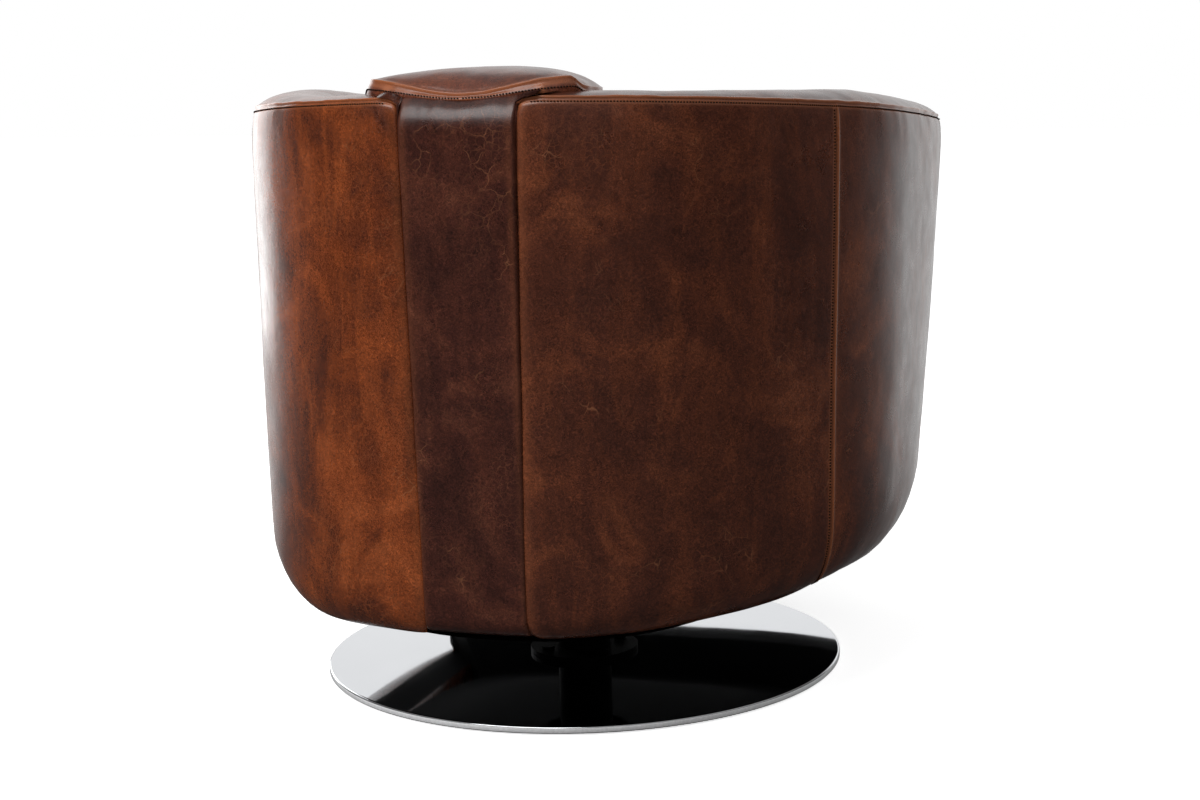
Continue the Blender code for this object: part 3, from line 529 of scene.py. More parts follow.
def armPoint(station, level, across, shift, lift, lowLift, roll=0.0):
    run, nose, cap = station[:3]
    run += armBuild["seamUpright"] * (1 - level) * math.sin(math.pi * run)
    outer = outerPoint(run, level)
    inner = innerPoint(run, level)
    if nose > 0:
        middle = (outer + inner) / 2
        width = outer - inner
        ahead = Vector((width.y, -width.x)).normalized() * tub["nose"]
        narrow = math.sqrt(max(0.0, 1 - nose * nose))
        outer = middle + (outer - middle) * narrow + ahead * nose
        inner = middle + (inner - middle) * narrow + ahead * nose
    gap = inner - outer
    spot = outer + gap * across
    if gap.length > 1e-6:
        shift = min(shift, gap.length * tub["turnShare"] / 2)
        shift += roll * min(armTurn(station[0]), gap.length * tub["turnShare"])
        spot = spot + gap.normalized() * shift
    spot = spot.lerp((outer + inner) / 2, cap)
    low = bottomZ(spot.y) + tub["noseRise"] * (1 - math.sqrt(max(0.0, 1 - nose * nose)))
    sag = mix(*lowLift, smoothStep(*armBuild["liftBack"], spot.y))
    low += sag * smoothStep(*armBuild["liftSide"], spot.y)
    return Vector((spot.x, spot.y, mix(low, topZ(spot.y), level) + lift))


armBuild = {
    "capShares": (1.0, 0.8, 0.6, 0.42, 0.27, 0.15, 0.07, 0.02), "edgeSteps": 8, "bodySteps": 96,
    "noseSteps": 16, "turnSteps": 10, "wallSteps": 34, "topSteps": 20, "innerSteps": 26,
    "sideSeamRun": 0.44, "sideLength": 0.85, "seamUpright": 0.022,
    "liftBack": (0.24, 0.36), "liftSide": (-0.1, 0.05),
    "waves": 0.0011, "waveScale": 7.0, "ripple": 0.00035, "rippleScale": 26.0,
    "pucker": 0.0009, "puckerScale": 62.0, "puckerStretch": (1.0, 1.0, 0.15), "puckerReach": 0.022,
    "seamReach": 0.05, "rowFade": 0.012, "edgeWear": 0.15, "edgeWidth": 0.006,
    "sideStitchEnd": -0.007,
    "clothEnd": -10, "clothShares": (0.06, 0.94), "clothSteps": 9, "clothDrop": 0.0012, "hemRow": -5,
}


def armStations():
    stations = [(0.0, 0.0, share, 1.0) for share in armBuild["capShares"]]
    for turn in quarterArc(armBuild["edgeSteps"]):
        stations.append((tub["endRun"] * (1 - math.cos(turn)), 0.0, 0.0, 1 - math.sin(turn)))
    seam = armBuild["sideSeamRun"]
    runs = np.linspace(tub["endRun"], 1.0, armBuild["bodySteps"] + 1)[1:]
    runs = withCluster(list(runs), seam, [offset / armBuild["sideLength"] for offset in seamOffsets])
    stations += [(float(run), 0.0, 0.0, 0.0) for run in runs]
    stations += [(1.0, math.sin(turn), 0.0, 0.0) for turn in quarterArc(armBuild["noseSteps"])[1:]]
    sideIndex = min(range(len(stations)), key=lambda i: abs(stations[i][0] - seam))
    return stations, sideIndex


def armRows():
    rows = []
    for turn in quarterArc(armBuild["turnSteps"]):
        rows.append(("turn", 1 - math.cos(turn), 1 - math.sin(turn)))
    topOffsets = [offset / wallHeight for offset in seamOffsets]
    levels = list(np.linspace(0.0, 1.0, armBuild["wallSteps"] + 1)[1:])
    levels = [level for level in levels if level < 1.0 + topOffsets[0]]
    levels += [1.0 + offset for offset in topOffsets if offset <= 0]
    rows += [("wall", float(level), 0.0) for level in levels]
    topSeam = len(rows) - 1
    nearEdge = [offset / tub["armWidth"] for offset in seamOffsets if offset > 0]
    acrossList = nearEdge + list(np.linspace(0.09, 0.91, armBuild["topSteps"]))
    acrossList += [1 - share for share in reversed(nearEdge)]
    rows += [("top", float(across), 0.0) for across in acrossList]
    innerSeam = len(rows)
    innerLevels = [1.0] + [1.0 + offset for offset in reversed(topOffsets) if offset < 0]
    innerLevels += list(np.linspace(0.97, tub["hem"], armBuild["innerSteps"]))
    rows += [("inner", float(level), 0.0) for level in innerLevels]
    rows += [("under", share, 0.0) for share in (0.25, 0.5, 0.75, 1.0)]
    return rows, topSeam, innerSeam


# The leather is drawn in towards the top seam
def seamPull(level):
    return tub["seamDraw"] * math.exp(-(1 - level) * wallHeight / tub["drawReach"])


def armGrid(lowLift):
    stations, sideIndex = armStations()
    rows, topSeam, innerSeam = armRows()
    topStart = 1.0 + seamOffsets[0] / wallHeight
    points = np.zeros((len(stations), len(rows), 3))
    for i, station in enumerate(stations):
        run, nose, _, rounding = station
        soft = math.sqrt(max(0.0, 1 - nose * nose))
        corner = tub["corner"] * rounding
        turnLevel = armTurn(run) / wallHeight
        swell = min(1.0, max(0.0, run - tub["crownStart"]) * tub["crownRate"])
        crown = mix(tub["crownBack"], tub["crownSide"], swell) * mix(tub["noseCrown"], 1.0, soft)
        for j, (kind, value, extra) in enumerate(rows):
            if kind == "turn":
                spot = armPoint(station, value * turnLevel, 0.0, corner, 0.0, lowLift, extra)
            elif kind == "wall":
                if value < topStart:
                    value = mix(turnLevel, topStart, value / topStart)
                rising = math.pi * (value - turnLevel) / (1 - turnLevel)
                arch = math.sin(rising) ** tub["archRise"] if value < 1 else 0.0
                shift = corner - tub["bulge"] * arch * (1 - rounding) + seamPull(value)
                drop = corner * math.exp(-(1 - value) * wallHeight / tub["cornerReach"])
                spot = armPoint(station, value, 0.0, shift, -drop, lowLift)
            elif kind == "top":
                dome = (1 - abs(2 * value - 1) ** tub["domePower"]) ** tub["domeRise"]
                draw = tub["seamDraw"] * (1 - 2 * value)
                spot = armPoint(station, 1.0, value, draw, crown * dome - corner, lowLift)
            elif kind == "inner":
                spot = armPoint(station, value, 1.0, -seamPull(value), -corner * (value > 0.999), lowLift)
            else:
                hem = Vector(points[i, armBuild["hemRow"]])
                spot = hem.lerp(Vector(points[i, 0]), value)
            points[i, j] = spot
    normals = gridNormals(points, len(stations) // 2, topSeam // 2, 0)
    return points, normals, sideIndex, topSeam, innerSeam


# The row of points nearest to the stitches
def stitchIndex(distances):
    return int(np.argmin(np.abs(distances + seamShape["stitchRow"])))


def dressArm(name, mirror, material, nodes, seed, lowLift, **shape):
    tub.update(shape)
    points, normals, sideIndex, topSeam, innerSeam = armGrid(lowLift)
    fromTop = runLength(points, 1, topSeam)
    fromInner = -runLength(points, 1, innerSeam)
    fromSide = runLength(points, 0, sideIndex)
    onWall = np.zeros(points.shape[:2])
    onWall[:, :topSeam - 1] = 1.0
    rowFade = np.clip(-fromTop / armBuild["rowFade"], 0, 1) * onWall
    reach = armBuild["seamReach"]
    lift = foldedSeam(fromTop) * (fromTop < reach) + foldedSeam(fromInner) * (fromInner < reach)
    lift += foldedSeam(fromSide) * rowFade
    gathers = noiseField(points * np.array(armBuild["puckerStretch"]), armBuild["puckerScale"], seed + 9)
    reach = armBuild["puckerReach"]
    nearTop = np.exp(-np.abs(fromTop) / reach) + np.exp(-np.abs(fromInner) / reach)
    lift += ripples(points, armBuild, seed, seed + 5) + armBuild["pucker"] * gathers * nearTop
    shaped = points + normals * lift[:, :, None]
    shaped[:, -1] = shaped[:, 0]
    wear = seamWear(fromTop) + seamWear(fromInner) + seamWear(fromSide) * rowFade
    edgeIndex = len(armBuild["capShares"]) + armBuild["edgeSteps"] // 2
    fromEdge = runLength(points, 0, edgeIndex)
    wear += armBuild["edgeWear"] * bell(fromEdge, 0.0, armBuild["edgeWidth"]) * onWall
    maker = gridMaker(shaped, np.clip(wear, 0, 1), mirror)
    piece = addPiece(name, maker, material, "seat", nodes)
    # Paths for the stitches, a little proud of the sunk row
    flip = np.array([-1.0 if mirror else 1.0, 1.0, 1.0])
    middleStation = len(points) // 2
    firstStation = len(armBuild["capShares"]) + armBuild["edgeSteps"] - 2
    rowTop = stitchIndex(fromTop[middleStation, :topSeam])
    rowInner = innerSeam + stitchIndex(fromInner[middleStation, innerSeam:])
    stitchSide = stitchIndex(fromSide[:sideIndex, topSeam // 2])
    proud = (shaped + normals * seamShape["proud"]) * flip
    sideRows = [row for row in range(2, topSeam) if fromTop[stitchSide, row] < armBuild["sideStitchEnd"]]
    paths = [proud[firstStation:, rowTop], proud[firstStation:, rowInner], proud[stitchSide, sideRows]]
    addStitches(name + "Stitches", [path.tolist() for path in paths])
    # Black cloth stapled across the open underside
    under = shaped[len(armBuild["capShares"]):armBuild["clothEnd"]]
    shares = np.linspace(*armBuild["clothShares"], armBuild["clothSteps"])
    hem = under[:, armBuild["hemRow"]]
    cloth = np.stack([under[:, 0] * (1 - share) + hem * share for share in shares], axis=1)
    cloth[:, :, 2] -= armBuild["clothDrop"]
    clothNode = "arm_base_cloth_" + nodes[0].split("_")[-1]
    addSheet(name + "Cloth", cloth * flip, (clothNode,))


# The left arm takes the lighter hide: partly its own tan, partly painted light
dressArm("armLeft", False, leatherLeftLit, ("arm_cover_left", "arm_pad_left"), 1, (-0.008, 0.004),
         trim=0.003, turnSide=0.095, crownSide=0.028)
dressArm("armRight", True, leatherRight, ("arm_cover_right", "arm_pad_right"), 2, (0.01, 0.004),
         trim=-0.002, turnSide=0.115, crownSide=0.019)
print("arms dressed")

# Head cushion on the spine, its cap seam dipping at the back
head = {
    "top": 0.724, "halfWidth": 0.123, "backY": 0.338, "frontY": 0.186, "power": 3.0, "stand": -0.004,
    "dip": 0.698, "shoulder": 0.7142, "shoulderX": 0.112, "end": 0.701, "frontSeam": 0.696, "gussetX": 0.086,
    "frontFoot": 0.626, "aroundSteps": 160, "capSteps": 34, "bandSteps": 10, "domePower": 2.6,
    "domeRise": 0.62, "footTuck": 0.02, "footDrop": 0.004, "seamGap": 0.004, "bow": 0.004, "frontBow": 0.006,
    "frontFrom": (0.25, 0.21), "turnFrom": (-0.03, 0.02), "capReach": 0.12, "gathers": 0.0016,
    "gatherScale": 48.0, "gatherReach": 0.03, "waves": 0.0014, "waveScale": 16.0,
}
headMiddle = (head["backY"] + head["frontY"]) / 2


def capSeamZ(x, y):
    wide = abs(x)
    if wide < head["shoulderX"]:
        back = mix(head["dip"], head["shoulder"], smoothStep(0.0, head["shoulderX"], wide))
    else:
        back = mix(head["shoulder"], head["end"], smoothStep(head["shoulderX"], head["halfWidth"], wide))
    turnLow, turnHigh = head["turnFrom"]
    return mix(head["frontSeam"], back, smoothStep(headMiddle + turnLow, headMiddle + turnHigh, y))


def headPoint(angle, shrink):
    half = head["halfWidth"] - shrink
    reach = (head["backY"] - head["frontY"]) / 2 - shrink
    distance = oval(angle, half, reach, head["power"])
    return distance * math.sin(angle), headMiddle + distance * math.cos(angle)


def dressHead():
    steps = head["aroundSteps"]
    rows = [("foot", share) for share in (0.0, 0.4, 0.8, 1.0)]
    rows += [("band", share) for share in np.linspace(0.1, 0.9, head["bandSteps"])]
    seamRow = len(rows)
    capShares = [offset / head["capReach"] for offset in seamOffsets if offset >= 0]
    capShares += [share for share in np.linspace(0.03, 1.0, head["capSteps"]) if share > capShares[-1] + 0.01]
    rows += [("cap", share) for share in capShares]
    points = np.zeros((steps + 1, len(rows), 3))
    for i in range(steps + 1):
        angle = 2 * math.pi * i / steps
        x, y = headPoint(angle, 0.0)
        seamZ = capSeamZ(x, y)
        frontness = smoothStep(*head["frontFrom"], y)
        low = mix(min(topZ(y) + head["stand"], seamZ - head["seamGap"]), head["frontFoot"], frontness)
        for j, (kind, share) in enumerate(rows):
            if kind == "foot":
                px, py = headPoint(angle, head["footTuck"] * (1 - share) ** 0.5)
                pz = low - head["footDrop"] * (1 - share)
            elif kind == "band":
                bow = head["bow"] + head["frontBow"] * frontness
                px, py = headPoint(angle, -bow * math.sin(math.pi * share))
                pz = mix(low, seamZ, share)
            else:
                reach = 1 - share
                px, py = x * reach, headMiddle + (y - headMiddle) * reach
                rise = (1 - reach ** head["domePower"]) ** head["domeRise"]
                pz = mix(seamZ, head["top"], rise)
            points[i, j] = (px, py, pz)
    normals = gridNormals(points, 0, seamRow + len(rows) // 3, 2)
    fromSeam = runLength(points, 1, seamRow)
    lift = foldedSeam(fromSeam)
    # Short seams where the strip meets the gussets
    atBack = (points[:, :, 1] > headMiddle) * (fromSeam < -0.001)
    fromGusset = np.abs(points[:, :, 0]) - head["gussetX"]
    lift += foldedSeam(fromGusset) * atBack
    gathers = noiseField(points, head["gatherScale"], 21) * np.exp(-np.abs(fromSeam) / head["gatherReach"])
    lift += head["gathers"] * gathers + head["waves"] * noiseField(points, head["waveScale"], 23)
    lift[:, -1] = 0.0
    shaped = points + normals * lift[:, :, None]
    shaped[-1] = shaped[0]
    maker = gridMaker(shaped, np.clip(seamWear(fromSeam) + seamWear(fromGusset) * atBack, 0, 1))
    piece = addPiece("headCushion", maker, leatherCap, "seat", ("head_cushion",))
    proud = shaped + normals * seamShape["proud"]
    addStitches("headStitches", [proud[:, stitchIndex(fromSeam[0, :seamRow])].tolist()])


dressHead()
print("head cushion dressed")

# Outside strip between the arms, rolling forward under the cap seam
strip = {
    "recess": 0.005, "lift": 0.009, "crown": 0.0016, "edge": 0.0045, "depth": 0.05, "lean": 0.45,
    "rollStart": 0.66, "footTurn": 0.018, "heightSteps": 90, "rollSteps": 18, "faceSteps": 40,
    "sideShares": (1.0, 0.6, 0.3, 0.12, 0.03), "over": (0.0056, 0.0026),
    "rollSpread": 1.34, "rollBack": 0.01, "rollBow": 4.2, "rollGap": 0.001, "sideGap": 0.013,
    "spreadFrom": 0.55, "waves": 0.0009, "waveScale": 11.0, "ripple": 0.0004, "rippleScale": 34.0,
    "gathers": 0.0011, "gatherScale": 95.0, "gatherStretch": (1.0, 0.3, 0.12), "gatherZ": 0.693,
    "gatherReach": 0.02, "wear": 0.12, "wearWidth": 0.004,
}


def dressStrip():
    backY = tub["backY"] - strip["recess"]
    low = bottomZ(backY) + strip["lift"]
    columns = [("side", share) for share in strip["sideShares"]]
    columns += [("edge", math.pi / 2 - turn) for turn in quarterArc(6)]
    columns += [("face", share) for share in np.linspace(0.97, 0.0, strip["faceSteps"] // 2)]
    columns = [(kind, value, 1) for kind, value in columns]
    columns += [(kind, value, -1) for kind, value, sign in reversed(columns[:-1])]
    rows = [("foot", turn) for turn in quarterArc(6)]
    rows += [("rise", share) for share in np.linspace(0.0, 1.0, strip["heightSteps"])[1:]]
    rows += [("roll", share) for share in np.linspace(0.0, 1.0, strip["rollSteps"])[1:]]
    points = np.zeros((len(columns), len(rows), 3))
    for i, (kind, value, sign) in enumerate(columns):
        for j, (part, share) in enumerate(rows):
            if part == "foot":
                z = low + strip["footTurn"] * (1 - math.cos(share))
                back = strip["footTurn"] * (1 - math.sin(share))
            elif part == "rise":
                z = mix(low + strip["footTurn"], strip["rollStart"], share)
                back = 0.0
            else:
                z = strip["rollStart"]
                back = 0.0
            level = min(1.0, (z - bottomZ(backY)) / (topZ(backY) - bottomZ(backY)))
            half = mix(*tub["slot"], level) + mix(*strip["over"], level)
            edge = strip["edge"]
            if kind == "face":
                x = value * (half - edge)
                y = backY + strip["crown"] * (1 - value * value)
            elif kind == "edge":
                x = half - edge + edge * math.sin(value)
                y = backY - edge + edge * math.cos(value)
            else:
                y = backY - edge - value * strip["depth"]
                x = half + strip["lean"] * value * strip["depth"]
            y -= back
            if part == "roll":
                seamX = x * strip["rollSpread"]
                seamZ = capSeamZ(seamX, head["backY"]) - strip["sideGap" if kind == "side" else "rollGap"]
                turn = share * math.pi / 2
                if kind != "side":
                    seamY = head["backY"] - strip["rollBack"] - strip["rollBow"] * seamX * seamX
                    y = mix(seamY, y, math.cos(turn))
                z = mix(strip["rollStart"], seamZ, math.sin(turn))
                x = mix(x, seamX, smoothStep(strip["spreadFrom"], 1.0, share))
            points[i, j] = (sign * x, y, z)
    normals = gridNormals(points, len(columns) // 2, len(rows) // 2, 1)
    gathers = noiseField(points * np.array(strip["gatherStretch"]), strip["gatherScale"], 33)
    nearTop = np.exp(-np.abs(points[:, :, 2] - strip["gatherZ"]) / strip["gatherReach"])
    lift = ripples(points, strip, 31, 32) + strip["gathers"] * gathers * nearTop
    width = strip["wearWidth"]
    wear = strip["wear"] * bell(np.abs(points[:, :, 0]), tub["slot"][1] - width, width)
    maker = gridMaker(points + normals * lift[:, :, None], wear)
    outward = [face for face in maker.faces if abs(face.normal.y) > 0.8]
    if sum(face.normal.y for face in outward) < 0:
        bmesh.ops.reverse_faces(maker, faces=maker.faces)
    addPiece("backStrip", maker, leatherStrip, "seat", ("back_strip",))


dressStrip()
print("back strip dressed")

# Polished disc, turned from its profile
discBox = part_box("base_disc")
discShape = {
    "radius": discBox[1][0], "low": discBox[0][2], "high": discBox[1][2], "edge": 0.0026, "steps": 180,
    "chamfer": 0.0012, "lip": 0.001, "rimLean": 0.3,
}


def turnedMaker(profile, steps):
    maker = bmesh.new()
    spots = [maker.verts.new((radius, 0.0, height)) for radius, height in profile]
    edges = [maker.edges.new(pair) for pair in zip(spots, spots[1:])]
    bmesh.ops.spin(maker, geom=spots + edges, axis=(0, 0, 1), cent=(0, 0, 0), angle=2 * math.pi,
                   steps=steps, use_merge=True)
    bmesh.ops.remove_doubles(maker, verts=maker.verts, dist=1e-6)
    bmesh.ops.recalc_face_normals(maker, faces=maker.faces)
    return maker


def dressDisc():
    radius, low, high, edge = (discShape[key] for key in ("radius", "low", "high", "edge"))
    chamfer = discShape["chamfer"]
    profile = [(0.0, low), (radius * 0.5, low), (radius - chamfer, low), (radius, low + chamfer)]
    for turn in quarterArc(8):
        profile.append((radius - edge + edge * math.cos(turn), high - edge + edge * math.sin(turn)))
    profile += [(radius - edge - discShape["lip"], high), (radius * 0.6, high), (0.0, high)]
    maker = turnedMaker(profile, discShape["steps"])
    # The upright rim faces take the pale finish, which is partly a painted reflection
    for face in maker.faces:
        face.material_index = 1 if abs(face.normal.z) < discShape["rimLean"] else 0
    piece = addPiece("baseDisc", maker, chromeFinish, "base", ("base_disc",))
    piece.data.materials.append(rimPaintedSheenFinish)


dressDisc()
print("disc dressed")

# Seat cushion: boxed, crowned, piped, puffed by cloth under pressure
cushion = {
    "half": 0.2595, "backY": 0.142, "middleY": -0.05, "frontY": -0.388, "backPower": 2.4, "frontPower": 4.0,
    "low": 0.2662, "thickness": 0.126, "crown": 0.026, "edge": 0.01, "tilt": 0.06, "smaller": 0.005,
    "voxel": 0.0065, "pressure": 4.0, "cap": 0.009, "piping": 0.0036, "valley": 0.0028, "aroundSteps": 180,
    "underInsets": (0.17, 0.12, 0.06), "sideShares": (0.25, 0.4, 0.6, 0.75), "sideBow": 0.003,
    "crownPower": 2.6, "crownRun": 0.165, "crownSteps": 12, "pinHeight": 0.004, "seamSteps": 260,
    "seamWidth": 0.007, "pipingWear": 0.35,
    "waves": 0.0012, "waveScale": 9.0, "ripple": 0.0004, "rippleScale": 30.0,
}


def seatTilt(spot):
    return Vector((spot[0], spot[1], spot[2] - cushion["tilt"] * spot[1]))


def cushionPoint(angle, inset, plan=cushion):
    half = plan["half"] - inset
    if math.cos(angle) > 0:
        distance = oval(angle, half, plan["backY"] - plan["middleY"] - inset, plan["backPower"])
    else:
        distance = oval(angle, half, plan["middleY"] - plan["frontY"] - inset, plan["frontPower"])
    return distance * math.sin(angle), plan["middleY"] + distance * math.cos(angle)


def cushionRing(height, inset, steps):
    ring = []
    for step in range(steps):
        angle = 2 * math.pi * step / steps
        ring.append(seatTilt((*cushionPoint(angle, inset), height)))
    return ring


# The first and last rows close to their middles
def closeEnds(points):
    points[:, 0] = points[:-1, 1].mean(axis=0)
    points[:, -1] = points[:-1, -2].mean(axis=0)


def relax(maker):
    bmesh.ops.smooth_vert(maker, verts=maker.verts, factor=0.5, use_axis_x=True, use_axis_y=True,
                          use_axis_z=True)


puffSetup = {"frames": 20, "quality": 4, "seamWear": 0.4, "seamReach": 3}


# Cloth under pressure; pinned points stay, and none moves past the cap
def puffed(maker, settings, pinned):
    block = newObject("puffStart", maker)
    remesh = block.modifiers.new("even", "REMESH")
    remesh.mode = "VOXEL"
    remesh.voxel_size = settings["voxel"]
    block = newObject("puff", bakeMesh(block))
    start = np.array([vert.co for vert in block.data.vertices])
    group = block.vertex_groups.new(name="pinned")
    group.add([index for index, spot in enumerate(start) if pinned(spot)], 1.0, "REPLACE")
    cloth = block.modifiers.new("puff", "CLOTH")
    cloth.settings.use_pressure = True
    cloth.settings.uniform_pressure_force = settings["pressure"]
    cloth.settings.vertex_group_mass = "pinned"
    cloth.settings.effector_weights.gravity = 0.0
    cloth.settings.quality = puffSetup["quality"]
    cloth.point_cache.frame_start = 1
    cloth.point_cache.frame_end = puffSetup["frames"]
    for number in range(1, puffSetup["frames"] + 1):
        scene.frame_set(number)
    result = bakeMesh(block)
    scene.frame_set(1)
    result.verts.ensure_lookup_table()
    moved = np.array([vert.co for vert in result.verts]) - start
    size = np.linalg.norm(moved, axis=1, keepdims=True)
    capped = start + moved * np.minimum(1.0, settings["cap"] / np.maximum(size, 1e-9))
    for vert, spot in zip(result.verts, capped):
        vert.co = spot
    relax(result)
    bmesh.ops.subdivide_edges(result, edges=result.edges, cuts=1, use_grid_fill=True, smooth=0.0)
    relax(result)
    print("puffed", len(result.verts), "points, moved at most", round(float(size.max()) * 1000, 1), "mm")
    return result


# Lay the seams on the skin, pull it in along them and note the wear beside them
def pressSeams(maker, seams, depth, width):
    skin = BVHTree.FromBMesh(maker)
    paths = [[skin.find_nearest(spot)[0] for spot in seam] for seam in seams]
    wearLayer = maker.verts.layers.float.get("wear") or maker.verts.layers.float.new("wear")
    for path in paths:
        tree = KDTree(len(path))
        for index, spot in enumerate(path):
            tree.insert(spot, index)
        tree.balance()
        maker.normal_update()
        for vert in maker.verts:
            distance = tree.find(vert.co)[2]
            if distance < width * puffSetup["seamReach"]:
                share = math.exp(-((distance / width) ** 2))
                vert[wearLayer] = max(vert[wearLayer], puffSetup["seamWear"] * share)
                vert.co -= vert.normal * depth * share
    return paths


def pipingRun(path):
    guide = pathCurve("pipingGuide", path, True)
    guide.data.bevel_depth = cushion["piping"]
    guide.data.bevel_resolution = 3
    return bakeMesh(guide)


def addPiping(name, paths):
    whole = joined(pipingRun(path) for path in paths)
    wearLayer = whole.verts.layers.float.new("wear")
    for vert in whole.verts:
        vert[wearLayer] = cushion["pipingWear"]
    addPiece(name, whole, leatherSeat, "seat")


def dressCushion():
    steps, edge = cushion["aroundSteps"], cushion["edge"]
    low = cushion["low"] + cushion["smaller"] * 0.4
    high = cushion["low"] + cushion["thickness"] - cushion["smaller"]
    rows = [(low, inset) for inset in (*cushion["underInsets"], edge)]
    rows += [(low + edge * 0.4, edge * 0.35), (low + edge, 0.0)]
    for share in cushion["sideShares"]:
        rows.append((mix(low, high, share), -cushion["sideBow"] * math.sin(math.pi * share)))
    rows += [(high - edge, 0.0), (high - edge * 0.3, edge * 0.35), (high, edge)]
    for share in np.linspace(0.1, 1, cushion["crownSteps"]):
        rise = 1 - (1 - share) ** cushion["crownPower"]
        rows.append((high + cushion["crown"] * rise, edge + share * cushion["crownRun"]))
    points = np.zeros((steps + 1, len(rows) + 2, 3))
    for j, (height, inset) in enumerate(rows):
        ring = cushionRing(height, inset + cushion["smaller"], steps)
        points[:, j + 1] = ring + ring[:1]
    closeEnds(points)
    limit = low + cushion["pinHeight"]
    skin = puffed(gridMaker(points), cushion, lambda spot: spot[2] + cushion["tilt"] * spot[1] < limit)
    count = cushion["seamSteps"]
    seams = [cushionRing(high - 0.001, edge * 0.45, count), cushionRing(low + 0.006, edge * 0.3, count)]
    paths = pressSeams(skin, seams, cushion["valley"], cushion["seamWidth"])
    spots = np.array([[vert.co for vert in skin.verts]])
    skin.normal_update()
    for vert, lift in zip(skin.verts, ripples(spots, cushion, 41, 42)[0]):
        vert.co += vert.normal * lift
    addPiping("cushionPiping", paths)
    piece = addPiece("seatCushion", skin, leatherSeat, "seat", ("cushion_cover", "cushion_core"))


dressCushion()
print("seat cushion dressed")

# Inside back: tight pad between the arm ends, its lower edge behind the seat
backrest = {
    "wide": 0.1335, "shoulderY": 0.1892, "backY": 0.345, "footY": 0.149, "topY": 0.187, "lumbar": 0.009,
    "lift": 0.016, "top": 0.676, "fall": 0.42, "crownZ": 0.012, "smaller": 0.003, "voxel": 0.006,
    "pressure": 4.0, "cap": 0.006, "seamX": 0.118, "frontSteps": 60, "sideSteps": 16, "levelSteps": 40,
    "slotGap": 0.006, "leanFrom": 0.3, "leanIn": 0.003, "swellFrom": 0.2, "swellLeast": 0.3,
    "leastDeep": 0.012, "cornerPower": 9, "shrinks": (0.05, 0.02, 0.006), "levels": (0.012, 0.97),
    "fallFrom": 0.03, "pinY": 0.19, "pinX": 0.125, "seamY": (0.15, 0.19), "seamZ": (0.258, 0.608),
    "seamSteps": 90, "valley": 0.0022, "seamWidth": 0.005,
}


def backrestLoop(level, shrink):
    slot = mix(*tub["slot"], level) - backrest["slotGap"] - shrink
    lean = max(0.0, level - backrest["leanFrom"]) / (1 - backrest["leanFrom"])
    front = mix(backrest["footY"], backrest["topY"], lean) + shrink
    wide = backrest["wide"] - shrink - backrest["leanIn"] * lean
    rise = min(1.0, max(0.0, level - backrest["swellFrom"]) / (1 - backrest["swellFrom"]))
    swell = backrest["lumbar"] * mix(backrest["swellLeast"], 1.0, math.sin(math.pi * rise))
    deep = max(backrest["leastDeep"], backrest["shoulderY"] - front)
    rearY = backrest["backY"] - shrink
    loop = []
    for share in np.linspace(-1, 1, backrest["frontSteps"]):
        share = math.sin(share * math.pi / 2)
        corner = deep * abs(share) ** backrest["cornerPower"]
        loop.append((share * wide, front - swell * (1 - share * share) + corner))
    lastX, lastY = loop[-1]
    for share in np.linspace(0, 1, backrest["sideSteps"])[1:]:
        loop.append((mix(lastX, slot, share), mix(lastY, rearY, share)))
    loop += [(slot * share, rearY) for share in np.linspace(0.8, -0.8, 9)]
    for share in np.linspace(1, 0, backrest["sideSteps"])[:-1]:
        loop.append((-mix(lastX, slot, share), mix(lastY, rearY, share)))
    return loop + loop[:1]


def dressBackrest():
    shrinks = backrest["shrinks"]
    rows = [(0.0, shrink) for shrink in shrinks]
    rows += [(level, 0.0) for level in np.linspace(*backrest["levels"], backrest["levelSteps"])]
    rows += [(1.0, shrink) for shrink in reversed(shrinks)]
    points = np.zeros((len(backrestLoop(0.5, 0.0)), len(rows) + 2, 3))
    for j, (level, shrink) in enumerate(rows):
        crown = backrest["crownZ"] * shrink / shrinks[0] if level > 0.99 else 0.0
        for i, (x, y) in enumerate(backrestLoop(level, shrink + backrest["smaller"])):
            low = bottomZ(y) + backrest["lift"]
            high = backrest["top"] - backrest["fall"] * (backrest["backY"] - backrest["fallFrom"] - y)
            points[i, j + 1] = (x, y, mix(low, high, level) + crown)
    closeEnds(points)
    pinX, pinY = backrest["pinX"], backrest["pinY"]
    skin = puffed(gridMaker(points), backrest, lambda spot: spot[1] > pinY or abs(spot[0]) > pinX)
    seam = []
    for share in np.linspace(0, 1, backrest["seamSteps"]):
        seam.append((backrest["seamX"], mix(*backrest["seamY"], share), mix(*backrest["seamZ"], share)))
    pressSeams(skin, [seam, [(-x, y, z) for x, y, z in seam]], backrest["valley"], backrest["seamWidth"])
    piece = addPiece("insideBack", skin, leatherSeat, "seat", ("backrest_cover", "spine_pad"))


dressBackrest()
print("inside back dressed")

# Front apron below the cushion
apron = {
    "low": 0.0651, "high": 0.2611, "half": 0.2595, "middleY": -0.05, "frontY": -0.315, "ahead": 0.055,
    "power": 4.0, "bottomDepth": 0.014, "topDepth": 0.034, "round": 0.012, "skin": 0.002, "inner": 0.0005,
    "bow": 0.003, "corner": 134.0, "cornerTrim": 0.4, "reachX": 0.257, "steps": 120, "faceSteps": 22,
    "faceRow": 16, "kick": 0.047, "kickTop": 0.085, "kickFade": 0.006,
    "capShares": (1.0, 0.6, 0.3, 0.12, 0.03),
    "waves": 0.0011, "waveScale": 10.0, "ripple": 0.0004, "rippleScale": 34.0,
}


